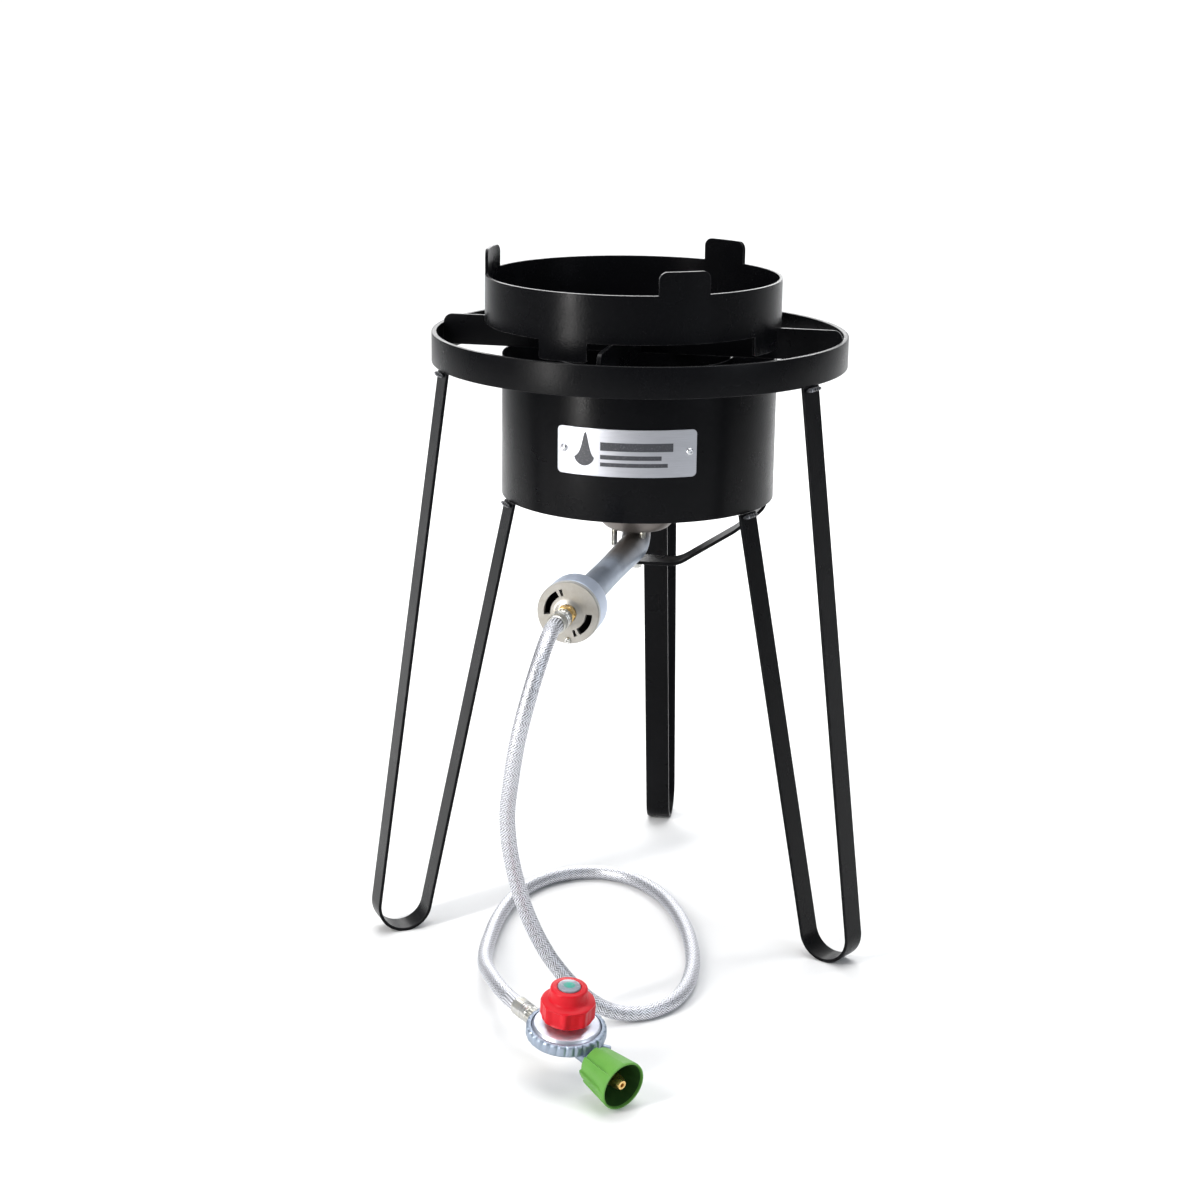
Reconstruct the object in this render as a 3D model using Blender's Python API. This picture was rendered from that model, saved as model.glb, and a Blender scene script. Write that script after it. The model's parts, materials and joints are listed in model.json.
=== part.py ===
"""Propane wok-burner stand: hairpin-leg stand, loose wok ring, burner, air shutter, hose and regulator.

Metres, +Z up. Origin on the ground under the burner. The rear leg lies on +Y, the front is -Y.
"""
import math

import bmesh
import bpy
from mathutils import Matrix, Vector

# ---------------------------------------------------------------- driving dimensions (metres)
GAP = 0.0003                 # clearance between pieces that touch

RING_R = 0.2032              # outside radius of the stand's top ring, 16 in across
RING_T = 0.005
RING_TOP = 0.591
RING_H = 0.0295

BAR_T = 0.004                # crossed support bars, on edge
BAR_H = 0.030
BAR_TOP = 0.600
BAR_CORNER = 0.0085
BAR_TURN = -3.0              # degrees about +Z

SHROUD_R = 0.1345            # wind shroud
SHROUD_T = 0.002
SHROUD_LOW = 0.4300
SHROUD_TOP = 0.5690
COLLAR_R = 0.0920            # inner heat collar
COLLAR_T = 0.0025
COLLAR_LOW = 0.516

LEG_W = 0.0254               # hairpin legs, 1 in flat bar
LEG_T = 0.0032
LEG_ANGLES = {"right": 60.0, "left": -60.0, "rear": 180.0}
LEG_OUTER_R = 0.2008         # where the outer arm meets the ring
LEG_INNER_R = 0.1336         # where the inner arm meets the shroud
# centre of the bend at the foot; the rear leg is set a little closer
FOOT_R = {"right": 0.2475, "left": 0.2475, "rear": 0.2385}
FOOT_BEND = 0.0262           # mid-surface radius of that bend
FOOT_STEPS = 13              # facets of the bend, odd so that one lies flat on the ground

WOK_R = 0.1445               # loose wok ring
WOK_T = 0.003
WOK_LOW = BAR_TOP + GAP
WOK_HIGH = WOK_LOW + 0.0455
WOK_FINGER = 0.6675          # top of the three fingers
WOK_TAB = 0.5820             # bottom of the four tabs
WOK_CENTRE = Vector((-0.007, 0.0, 0.0))
FINGER_ANGLES = (27.3, 147.3, 267.3)
TAB_ANGLES = (-19.2, 70.8, 160.8, 250.8)
FINGER_HALF = 10.1           # degrees, half the width of a finger or a tab
FINGER_CORNER = 0.008
TAB_CORNER = 0.003

PLATE_ANGLE = 2.8            # nameplate on the shroud
PLATE_HALF = 28.8
PLATE_LOW = 0.4745
PLATE_HIGH = 0.5195
PLATE_T = 0.0012
PLATE_CORNER = 0.0045
PLATE_SCREW = 25.8           # degrees from the middle of the plate to a screw
PLATE_SCREW_Z = 0.4986

VENTURI_ANGLE = -5.4         # the gas inlet points forward, slightly left
VENTURI_Z = 0.3770
FACE_AT = 0.2600             # distance of the mixer face from the burner axis
FACE_T = 0.0037
SHUTTER_T = 0.0015
SHUTTER_R = 0.0284
ELBOW_R = 0.018              # centre line of the casting's elbow
STRAP_W = 0.030
STRAP_T = 0.0032
STRAP_Z = VENTURI_Z - 0.0160

JET_NOSE = 0.0200            # front end of the jet fitting, from the mixer face
FERRULE_LENGTH = 0.0270
HOSE_R = 0.0072
HOSE_STRAIGHT = 0.012        # straight run out of each ferrule
HOSE_STEP = 0.030

REG_ORIGIN = Vector((0.003, -0.422, 0.046))
REG_ARM = Vector((0.737, -0.662, -0.140)).normalized()
REG_LEAN = Vector((0.11, -0.16, 0.98))
REG_UP = (REG_LEAN - REG_LEAN.dot(REG_ARM) * REG_ARM).normalized()
REG_PORT_Z = -0.012          # height of both ports below the diaphragm
OUTLET_LENGTH = 0.0417       # from the regulator's axis to the end of its outlet neck
NUT_R = 0.0222

# route of the hose, placed by hand, from the burner's ferrule to the regulator's
HOSE_ROUTE = (
    (-0.0308, -0.3420, 0.3718), (-0.0335, -0.3620, 0.3582), (-0.0382, -0.3752, 0.3380),
    (-0.0440, -0.3800, 0.3140), (-0.0500, -0.3785, 0.2870), (-0.0560, -0.3710, 0.2540),
    (-0.0620, -0.3570, 0.2180), (-0.0620, -0.3480, 0.1850), (-0.0585, -0.3370, 0.1510),
    (-0.0520, -0.3270, 0.1180), (-0.0420, -0.3180, 0.0870), (-0.0270, -0.3110, 0.0570),
    (-0.0040, -0.3080, 0.0300), (0.0240, -0.3060, 0.0125), (0.0520, -0.2960, 0.0074),
    (0.0740, -0.2730, 0.0074), (0.0850, -0.2390, 0.0074), (0.0870, -0.1940, 0.0074),
    (0.0810, -0.1440, 0.0074), (0.0660, -0.0850, 0.0074), (0.0400, -0.0240, 0.0074),
    (0.0060, 0.0180, 0.0074), (-0.0310, 0.0350, 0.0074), (-0.0670, 0.0280, 0.0074),
    (-0.0960, 0.0000, 0.0074), (-0.1140, -0.0450, 0.0074), (-0.1200, -0.1000, 0.0074),
    (-0.1180, -0.1580, 0.0088), (-0.1110, -0.2140, 0.0160), (-0.1000, -0.2640, 0.0270),
    (-0.0850, -0.3100, 0.0385), (-0.0700, -0.3470, 0.0450),
)

UP = Vector((0.0, 0.0, 1.0))

for old in list(bpy.data.objects):
    bpy.data.objects.remove(old, do_unlink=True)


# ---------------------------------------------------------------- objects and materials
BLACK = ((0.020, 0.021, 0.023), 0.0, 0.42)
STEEL = ((0.56, 0.57, 0.58), 1.0, 0.32)
ZINC = ((0.62, 0.62, 0.60), 1.0, 0.38)
CAST = ((0.36, 0.37, 0.38), 0.8, 0.55)
BRASS = ((0.72, 0.52, 0.22), 1.0, 0.30)
RED = ((0.55, 0.02, 0.025), 0.0, 0.28)
GREEN = ((0.01, 0.30, 0.13), 0.0, 0.32)
GREY = ((0.45, 0.45, 0.46), 0.9, 0.40)
WELD = ((0.50, 0.50, 0.52), 0.9, 0.35)
BRAID = ((0.55, 0.56, 0.57), 0.9, 0.35)


def make_material(name, colour, metallic, roughness):
    mat = bpy.data.materials.new(name)
    mat.use_nodes = True
    shader = mat.node_tree.nodes["Principled BSDF"]
    shader.inputs["Base Color"].default_value = (*colour, 1.0)
    shader.inputs["Metallic"].default_value = metallic
    shader.inputs["Roughness"].default_value = roughness
    mat.diffuse_color = (*colour, 1.0)
    return mat


def link_object(name, data, place=None, parent=None):
    obj = bpy.data.objects.new(name, data)
    bpy.context.scene.collection.objects.link(obj)
    obj.parent = parent
    if place is not None:
        obj.matrix_basis = place
    return obj


def add_mesh(name, bm, look, place=None, parent=None):
    """Turn a bmesh into a closed, smooth-shaded object, placed under its parent."""
    bmesh.ops.remove_doubles(bm, verts=bm.verts, dist=1e-6)
    bmesh.ops.recalc_face_normals(bm, faces=bm.faces)
    if bm.calc_volume(signed=True) < 0:
        bmesh.ops.reverse_faces(bm, faces=bm.faces)
    mesh = bpy.data.meshes.new(name)
    bm.to_mesh(mesh)
    bm.free()
    mesh.shade_smooth()
    mesh.set_sharp_from_angle(angle=math.radians(35.0))
    mesh.materials.append(make_material(name, *look))
    return link_object(name, mesh, place, parent)


def add_tube(name, points, radius, rounding, look, parent=None):
    """Round bar along a line of points, as a bevelled curve with closed ends."""
    curve = bpy.data.curves.new(name, "CURVE")
    curve.dimensions = "3D"
    curve.bevel_depth = radius
    curve.bevel_resolution = rounding
    curve.render_resolution_u = 0
    curve.use_fill_caps = True
    spline = curve.splines.new("POLY")
    spline.points.add(len(points) - 1)
    for knot, point in zip(spline.points, points):
        knot.co = (*point, 1.0)
    curve.materials.append(make_material(name, *look))
    return link_object(name, curve, None, parent)


def cut_with(obj, cutter, name):
    """Take the cutter's shape out of an object with an exact Boolean."""
    cutter.hide_render = True
    cutter.display_type = "WIRE"
    cut = obj.modifiers.new(name, "BOOLEAN")
    cut.operation = "DIFFERENCE"
    cut.solver = "EXACT"
    cut.object = cutter


def move(x=0.0, y=0.0, z=0.0):
    return Matrix.Translation((x, y, z))


def turn(degrees, axis="Z"):
    return Matrix.Rotation(math.radians(degrees), 4, axis)


def polar(angle_deg, radius, z=0.0):
    """Point at an angle from the front (-Y), positive towards +X."""
    a = math.radians(angle_deg)
    return Vector((radius * math.sin(a), -radius * math.cos(a), z))


def frame(origin, z_axis, x_hint):
    """Matrix that carries local z to z_axis, with local x close to x_hint."""
    z = z_axis.normalized()
    x = (x_hint - x_hint.dot(z) * z).normalized()
    basis = Matrix((x, z.cross(x), z)).transposed().to_4x4()
    return Matrix.Translation(origin) @ basis


# ---------------------------------------------------------------- shapes
def spin(profile, segments, closed=False, radius_rule=None):
    """Turn (r, z) points about local z. radius_rule(angle, r, z) may return a changed radius."""
    bm = bmesh.new()
    verts = [bm.verts.new((r, 0.0, z)) for r, z in profile]
    edges = [bm.edges.new(pair) for pair in zip(verts, verts[1:])]
    if closed:
        edges.append(bm.edges.new((verts[-1], verts[0])))
    bmesh.ops.spin(bm, geom=verts + edges, cent=(0.0, 0.0, 0.0), axis=UP,
                   angle=2.0 * math.pi, steps=segments, use_duplicate=False)
    bmesh.ops.remove_doubles(bm, verts=bm.verts, dist=1e-6)
    if radius_rule:
        for v in bm.verts:
            r = math.hypot(v.co.x, v.co.y)
            if r > 1e-6:
                factor = radius_rule(math.atan2(v.co.y, v.co.x), r, v.co.z) / r
                v.co.x *= factor
                v.co.y *= factor
    return bm


def hexagon(beyond):
    """Radius rule that turns circles larger than a radius into hexagons."""
    def rule(angle, r, z):
        if r <= beyond:
            return r
        part = (angle + math.pi / 6.0) % (math.pi / 3.0) - math.pi / 6.0
        return r * math.cos(math.pi / 6.0) / math.cos(part)
    return rule


def flutes(count, depth, beyond):
    """Radius rule that cuts shallow flutes into circles larger than a radius."""
    def rule(angle, r, z):
        if r <= beyond:
            return r
        return r - depth * (0.5 - 0.5 * math.cos(count * angle))
    return rule


def ribs(count, depth, beyond):
    """Radius rule that leaves narrow upright ribs on circles larger than a radius."""
    def rule(angle, r, z):
        if r <= beyond:
            return r
        return r - depth * (1.0 - abs(math.cos(count * angle / 2.0)) ** 6)
    return rule


def steps_round(count, depth, profile):
    """Radius rule for a row of shallow steps, like a ratchet, that fade out towards the last height."""
    outside = [r for r, z in profile]
    fade_from, fade_to = 0.0700, 0.0775

    def rule(angle, r, z):
        if r < min(outside):
            return r
        part = (count * angle / (2.0 * math.pi)) % 1.0
        rise = 1.0 - part / 0.125 if part < 0.125 else (part - 0.125) / 0.875
        fade = min(max((fade_to - z) / (fade_to - fade_from), 0.0), 1.0)
        return r - depth * fade * (1.0 - rise)
    return rule


def plain_ring(r_out, thickness, low, high, edge):
    """Closed profile of a plain ring with eased edges."""
    r_in = r_out - thickness
    return [
        (r_in, low + edge), (r_in + edge, low), (r_out - edge, low), (r_out, low + edge),
        (r_out, high - edge), (r_out - edge, high), (r_in + edge, high), (r_in, high - edge),
    ]


def thicken(bm, place_back):
    """Extrude an open sheet into a closed plate. place_back(co) gives the place behind a point."""
    made = bmesh.ops.extrude_face_region(bm, geom=list(bm.faces))
    for item in made["geom"]:
        if isinstance(item, bmesh.types.BMVert):
            item.co = place_back(item.co)
    return bm


def sheet(grid, keep, wrap):
    """Open sheet over a grid of points. keep(i, j) says which cells are metal."""
    bm = bmesh.new()
    columns = len(grid)
    used = {}

    def vert(i, j):
        key = (i % columns, j)
        if key not in used:
            used[key] = bm.verts.new(grid[key[0]][key[1]])
        return used[key]

    for i in range(columns if wrap else columns - 1):
        for j in range(len(grid[0]) - 1):
            if keep(i, j):
                bm.faces.new((vert(i, j), vert(i + 1, j), vert(i + 1, j + 1), vert(i, j + 1)))
    return bm


def closer_by(distance):
    """Rule for thicken: the same point, closer to the z axis."""
    def rule(co):
        flat = Vector((co.x, co.y, 0.0))
        return co - flat.normalized() * distance
    return rule


def lower_to(z):
    """Rule for thicken: the point below, at one height."""
    def rule(co):
        return Vector((co.x, co.y, z))
    return rule


def flat_plate(outline, thickness):
    """Plate from a closed (x, z) outline, centred on local y = 0."""
    bm = bmesh.new()
    bm.faces.new([bm.verts.new((x, -thickness / 2.0, z)) for x, z in outline])
    return thicken(bm, lambda co: co + Vector((0.0, thickness, 0.0)))


def offset_line(points, distance):
    """Mitred offset of an open line of (x, z) points, to its left for a positive distance."""
    line = [Vector(p) for p in points]
    steps = [(b - a).normalized() for a, b in zip(line, line[1:])]
    out = []
    for i, p in enumerate(line):
        before = steps[max(i - 1, 0)]
        after = steps[min(i, len(steps) - 1)]
        side = Vector((-before.y, before.x))
        mitre = (side + Vector((-after.y, after.x))).normalized()
        out.append(p + mitre * (distance / mitre.dot(side)))
    return out


def bent_bar(points, thickness, width):
    """Flat bar bent along (x, z) points, with its width along local y."""
    sides = zip(offset_line(points, thickness / 2.0), offset_line(points, -thickness / 2.0))
    grid = [[(p.x, -width / 2.0, p.y) for p in pair] for pair in sides]
    bm = sheet(grid, lambda i, j: True, False)
    return thicken(bm, lambda co: co + Vector((0.0, width, 0.0)))


def corner_arc(cx, cz, radius, start, steps):
    """Quarter circle of (x, z) points from a start angle in degrees."""
    angles = [math.radians(start + 90.0 * k / steps) for k in range(steps + 1)]
    return [(cx + radius * math.cos(a), cz + radius * math.sin(a)) for a in angles]


def corner_drop(inside, radius):
    """How far a rounded corner lies below its edge, at a distance inside the end of that edge."""
    part = 1.0 - min(max(inside / radius, 0.0), 1.0)
    return radius * (1.0 - math.sqrt(max(0.0, 1.0 - part * part)))


def smooth_line(route, step):
    """Catmull-Rom line through the route, with points about one step apart."""
    pts = [Vector(p) for p in route]
    pts = [2.0 * pts[0] - pts[1]] + pts + [2.0 * pts[-1] - pts[-2]]
    fine = 12
    dense = []
    for p0, p1, p2, p3 in zip(pts, pts[1:], pts[2:], pts[3:]):
        for s in range(fine):
            t = s / fine
            dense.append(0.5 * (2.0 * p1 + (p2 - p0) * t + (2.0 * p0 - 5.0 * p1 + 4.0 * p2 - p3) * t ** 2
                                + (3.0 * p1 - p0 - 3.0 * p2 + p3) * t ** 3))
    dense.append(pts[-2])
    walked = [0.0]
    for a, b in zip(dense, dense[1:]):
        walked.append(walked[-1] + (b - a).length)
    count = round(walked[-1] / step)
    out = []
    k = 0
    for n in range(count):
        target = walked[-1] * n / count
        while walked[k + 1] < target:
            k += 1
        out.append(dense[k].lerp(dense[k + 1], (target - walked[k]) / (walked[k + 1] - walked[k])))
    return out + [dense[-1]]


# ---------------------------------------------------------------- ring, shroud, collar and bars
def make_rings():
    edge = 0.0006
    thin_edge = 0.0004
    add_mesh("outer_ring", spin(
        plain_ring(RING_R, RING_T, RING_TOP - RING_H, RING_TOP, edge), 60, True), BLACK)
    add_mesh("wind_shroud", spin(
        plain_ring(SHROUD_R, SHROUD_T, SHROUD_LOW, SHROUD_TOP, thin_edge), 54, True), BLACK)
    add_mesh("inner_collar", spin(
        plain_ring(COLLAR_R, COLLAR_T, COLLAR_LOW, SHROUD_TOP, thin_edge), 36, True), BLACK)


def bar_outline(slot_on_top):
    """Outline of a support bar, with the half-lap slot where the two bars cross."""
    half = RING_R - RING_T - 0.0004
    low = BAR_TOP - BAR_H
    slot = BAR_T / 2.0 + GAP
    depth = BAR_H / 2.0 + GAP / 2.0
    right = corner_arc(half - BAR_CORNER, BAR_TOP - BAR_CORNER, BAR_CORNER, 0.0, 6)
    left = corner_arc(BAR_CORNER - half, BAR_TOP - BAR_CORNER, BAR_CORNER, 90.0, 6)
    notch_top = [(slot, BAR_TOP), (slot, BAR_TOP - depth), (-slot, BAR_TOP - depth), (-slot, BAR_TOP)]
    notch_low = [(-slot, low), (-slot, low + depth), (slot, low + depth), (slot, low)]
    if slot_on_top:
        return [(-half, low), (half, low)] + right + notch_top + left
    return [(-half, low)] + notch_low + [(half, low)] + right + left


def make_bars():
    add_mesh("cross_bar_side", flat_plate(bar_outline(True), BAR_T), BLACK, turn(BAR_TURN))
    add_mesh("cross_bar_front", flat_plate(bar_outline(False), BAR_T), BLACK, turn(BAR_TURN + 90.0))


# ---------------------------------------------------------------- legs and their welds
def leg_line(foot_r):
    """Mid-surface of a hairpin leg as (radius, z), from the ring round the foot to the shroud."""
    step = 180.0 / FOOT_STEPS
    centre = Vector((foot_r, FOOT_BEND * math.cos(math.radians(step / 2.0)) + LEG_T / 2.0))
    top_out = Vector((LEG_OUTER_R, RING_TOP - RING_H - GAP))
    top_in = Vector((LEG_INNER_R, SHROUD_LOW - GAP))

    def on_bend(degrees):
        a = math.radians(degrees)
        return centre + FOOT_BEND * Vector((math.cos(a), math.sin(a)))

    def tangent_angle(point, side):
        away = point - centre
        return math.degrees(math.atan2(away.y, away.x) - side * math.acos(FOOT_BEND / away.length))

    bend = [on_bend(-90.0 + step * (FOOT_STEPS / 2.0 - k)) for k in range(1, FOOT_STEPS)]
    return ([top_out, on_bend(tangent_angle(top_out, 1.0))] + bend
            + [on_bend(tangent_angle(top_in, -1.0)), top_in])


def make_legs():
    bead = [(0.0, -0.0118), (0.0013, -0.0112), (0.0021, -0.0090), (0.0023, -0.0030),
            (0.0021, 0.0030), (0.0023, 0.0090), (0.0013, 0.0112), (0.0, 0.0118)]
    bead_drop = 0.0027           # middle of a bead below the edge it runs along
    bead_out = LEG_T / 2.0 + 0.0030
    for side, angle in LEG_ANGLES.items():
        line = leg_line(FOOT_R[side])
        add_mesh("leg_" + side, bent_bar(line, LEG_T, LEG_W), BLACK, turn(angle - 90.0))
        along = Vector((math.cos(math.radians(angle)), math.sin(math.radians(angle)), 0.0))
        for edge, radius, z in (("ring", LEG_OUTER_R, RING_TOP - RING_H),
                                ("shroud", LEG_INNER_R, SHROUD_LOW)):
            spot = polar(angle, radius + bead_out, z - bead_drop)
            add_mesh("weld_%s_%s" % (edge, side), spin(bead, 10), WELD, frame(spot, along, UP))


# ---------------------------------------------------------------- loose wok ring
def angle_between(a, b):
    return abs((a - b + 180.0) % 360.0 - 180.0)


def nearest(angle, centres):
    return min(angle_between(angle, c) for c in centres)


def wok_ring_angles():
    """Columns of the wok ring: every 6 degrees, with closer ones round each corner."""
    finger_corner = math.degrees(FINGER_CORNER / WOK_R)
    tab_corner = math.degrees(TAB_CORNER / WOK_R)
    marks = set()
    for centres, corner, parts in ((FINGER_ANGLES, finger_corner, (0.0, 0.3, 1.0)),
                                   (TAB_ANGLES, tab_corner, (0.0, 1.0))):
        for c in centres:
            for side in (-1, 1):
                for part in parts:
                    marks.add(round((c + side * (FINGER_HALF - corner * part)) % 360.0, 3))
    regular = 6.0
    clear = 0.6
    for k in range(60):
        if nearest(k * regular, marks) > clear:
            marks.add(k * regular)
    return sorted(marks)


def wok_ring():
    angles = wok_ring_angles()
    grid = []
    for a in angles:
        in_finger = math.radians(FINGER_HALF - nearest(a, FINGER_ANGLES)) * WOK_R
        in_tab = math.radians(FINGER_HALF - nearest(a, TAB_ANGLES)) * WOK_R
        top = WOK_FINGER - corner_drop(in_finger, FINGER_CORNER)
        low = WOK_TAB + corner_drop(in_tab, TAB_CORNER)
        grid.append([polar(a, WOK_R, z) for z in (low, WOK_LOW, WOK_HIGH, top)])

    def keep(i, j):
        after = angles[i + 1] if i + 1 < len(angles) else angles[0] + 360.0
        middle = (angles[i] + after) / 2.0
        if j == 0:
            return nearest(middle, TAB_ANGLES) < FINGER_HALF
        if j == 2:
            return nearest(middle, FINGER_ANGLES) < FINGER_HALF
        return True

    return thicken(sheet(grid, keep, True), closer_by(WOK_T))


def make_wok_ring():
    add_mesh("wok_ring", wok_ring(), BLACK, Matrix.Translation(WOK_CENTRE))


# ---------------------------------------------------------------- nameplate
def nameplate():
    half_width = math.radians(PLATE_HALF) * SHROUD_R
    corner = PLATE_CORNER / half_width
    left = [-1.0 + corner * part for part in (0.0, 0.13, 0.5, 1.0)]
    middle = [-0.75 + 0.25 * k for k in range(7)]
    grid = []
    for mark in left + middle + [-m for m in reversed(left)]:
        cut = corner_drop((1.0 - abs(mark)) * half_width, PLATE_CORNER)
        angle = PLATE_ANGLE + PLATE_HALF * mark
        radius = SHROUD_R + GAP + PLATE_T
        grid.append([polar(angle, radius, z) for z in (PLATE_LOW + cut, PLATE_HIGH - cut)])
    return thicken(sheet(grid, lambda i, j: True, False), closer_by(PLATE_T))


def make_nameplate():
    add_mesh("nameplate", nameplate(), STEEL)
    head = [(0.0, 0.0), (0.0036, 0.0), (0.0036, 0.0006), (0.0026, 0.0018), (0.0, 0.0022)]
    for side, angle in (("left", PLATE_ANGLE - PLATE_SCREW), ("right", PLATE_ANGLE + PLATE_SCREW)):
        spot = polar(angle, SHROUD_R + 2.0 * GAP + PLATE_T, PLATE_SCREW_Z)
        add_mesh("nameplate_screw_" + side, spin(head, 12), ZINC, frame(spot, polar(angle, 1.0), UP))


# ---------------------------------------------------------------- burner casting and head
INLET = polar(VENTURI_ANGLE, 1.0)
SIDE = UP.cross(INLET).normalized()
CASTING_TOP = VENTURI_Z + 0.0908
# the inlet tube: distance in front of the burner axis, outer and inner radius
TUBE = (
    (0.2600, 0.0290, 0.0265), (0.2350, 0.0288, 0.0262), (0.2325, 0.0278, 0.0225), (0.2305, 0.0240, 0.0165),
    (0.2290, 0.0170, 0.0115), (0.2265, 0.0143, 0.0102), (0.1900, 0.0137, 0.0096), (0.1200, 0.0132, 0.0096),
    (0.0700, 0.0136, 0.0102), (0.0400, 0.0141, 0.0108),
)
# the flange and bowl above the elbow: height over the inlet, outer and inner radius
BOWL = (
    (0.0190, 0.0160, 0.0112), (0.0194, 0.0322, 0.0120), (0.0258, 0.0325, 0.0138),
    (0.0262, 0.0290, 0.0150), (0.0308, 0.0330, 0.0210), (0.0398, 0.0470, 0.0400),
    (0.0518, 0.0590, 0.0535), (0.0658, 0.0655, 0.0605), (0.0818, 0.0680, 0.0635),
    (0.0858, 0.0715, 0.0640), (0.0908, 0.0715, 0.0640),
)


def casting_stations():
    """Sections of the casting as (centre, direction, outer radius, inner radius)."""
    out = []
    for r, outer, inner in TUBE:
        out.append((INLET * r + UP * VENTURI_Z, -INLET, outer, inner))
    steps = 6
    for k in range(steps + 1):
        a = math.radians(90.0 * k / steps)
        forward = ELBOW_R * (1.0 - math.sin(a))
        rise = ELBOW_R * (1.0 - math.cos(a))
        heading = UP * math.sin(a) - INLET * math.cos(a)
        out.append((INLET * forward + UP * (VENTURI_Z + rise), heading, 0.0142, 0.0108))
    for rise, outer, inner in BOWL:
        out.append((UP * (VENTURI_Z + rise), UP, outer, inner))
    return out


def hollow_casting(stations, segments):
    """Tube with its own inside, bridged from ring to ring."""
    bm = bmesh.new()

    def ring(centre, direction, radius):
        place = Matrix.Translation(centre) @ Matrix(
            (SIDE, direction.cross(SIDE), direction)).transposed().to_4x4()
        made = bmesh.ops.create_circle(bm, segments=segments, radius=radius, matrix=place)
        verts = made["verts"]
        return [bm.edges.get((a, b)) for a, b in zip(verts, verts[1:] + verts[:1])]

    outside = [ring(c, d, outer) for c, d, outer, inner in stations]
    inside = [ring(c, d, inner) for c, d, outer, inner in stations]
    loop = outside + list(reversed(inside))
    for a, b in zip(loop, loop[1:] + loop[:1]):
        bmesh.ops.bridge_loops(bm, edges=a + b)
    return bm


def burner_head():
    """Cast port ring: a cap with slots round its rim."""
    count = 32
    slot_row = 2
    radii = (0.0100, 0.0400, 0.0480, 0.0600, 0.0712)
    heights = (0.0110, 0.0150, 0.0150, 0.0130, 0.0090)
    grid = [[polar(360.0 * i / count, r, CASTING_TOP + h) for r, h in zip(radii, heights)]
            for i in range(count)]
    bm = sheet(grid, lambda i, j: not (j == slot_row and i % 2 == 0), True)
    return thicken(bm, lower_to(CASTING_TOP + GAP))


def make_burner():
    add_mesh("burner_casting", hollow_casting(casting_stations(), 20), CAST)
    add_mesh("burner_head", burner_head(), CAST)
    add_mesh("burner_head_bolt", spin(
        [(0.0, 0.0010), (0.0094, 0.0010), (0.0094, 0.0118), (0.0085, 0.0154), (0.0, 0.0154)], 12),
        ZINC, move(z=CASTING_TOP))
    flange_low = VENTURI_Z + BOWL[0][0]
    for side, angle, radius, length in (("left", -45.0, 0.0276, 0.0170), ("right", 20.0, 0.0272, 0.0068)):
        stud = [(0.0, -length), (0.0024, -length), (0.0030, 0.0006 - length), (0.0030, -0.0006), (0.0, -0.0006)]
        add_mesh("bowl_flange_bolt_" + side, spin(stud, 14), ZINC,
                 Matrix.Translation(polar(angle, radius, flange_low)))


# ---------------------------------------------------------------- mixer face, shutter and jet
def slotted_disc(radius, low, high, boss=0.0):
    """Round plate with a centre hole, two curved air slots, two small notches and a raised boss."""
    count = 48
    openings = ((4, 13), (2, 3), (28, 36), (26, 27))
    slot_row = 2
    radii = (0.0083, 0.0125, 0.0163, 0.0225, radius)
    heights = (boss, 0.1 * boss, 0.0, 0.0, 0.0)
    grid = []
    for i in range(count):
        a = 2.0 * math.pi * i / count
        grid.append([(r * math.cos(a), r * math.sin(a), high + h) for r, h in zip(radii, heights)])

    def keep(i, j):
        return not (j == slot_row and any(first <= i < last for first, last in openings))

    return thicken(sheet(grid, keep, True), lower_to(low))


def make_mixer(inlet):
    """Everything on the mixer face. The inlet empty has its z axis along the gas inlet."""
    add_mesh("mixer_face", slotted_disc(0.0290, GAP, GAP + FACE_T), CAST, None, inlet)
    shutter_low = FACE_T + 2.0 * GAP
    add_mesh("air_shutter", slotted_disc(SHUTTER_R, shutter_low, shutter_low + SHUTTER_T, 0.0022), STEEL, None, inlet)
    screw = [(0.0, 0.0), (0.0032, 0.0), (0.0032, 0.0012), (0.0022, 0.0022), (0.0, 0.0024)]
    screw_out = 0.0254
    add_mesh("shutter_screw", spin(screw, 12), ZINC,
             move(x=-screw_out, z=shutter_low + SHUTTER_T + GAP), inlet)
    # thread through the face, hexagon in front, jet hole at the inner end
    jet = [(0.0015, -0.0180), (0.0045, -0.0180), (0.0060, -0.0100), (0.0078, -0.0098),
           (0.0078, 0.0084), (0.0086, 0.0086), (0.0093, 0.0094), (0.0093, 0.0148),
           (0.0086, 0.0156), (0.0070, 0.0158), (0.0070, JET_NOSE), (0.0030, JET_NOSE),
           (0.0030, -0.0120), (0.0015, -0.0130)]
    add_mesh("orifice_fitting", spin(jet, 36, True, hexagon(0.0080)), BRASS, None, inlet)


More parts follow.
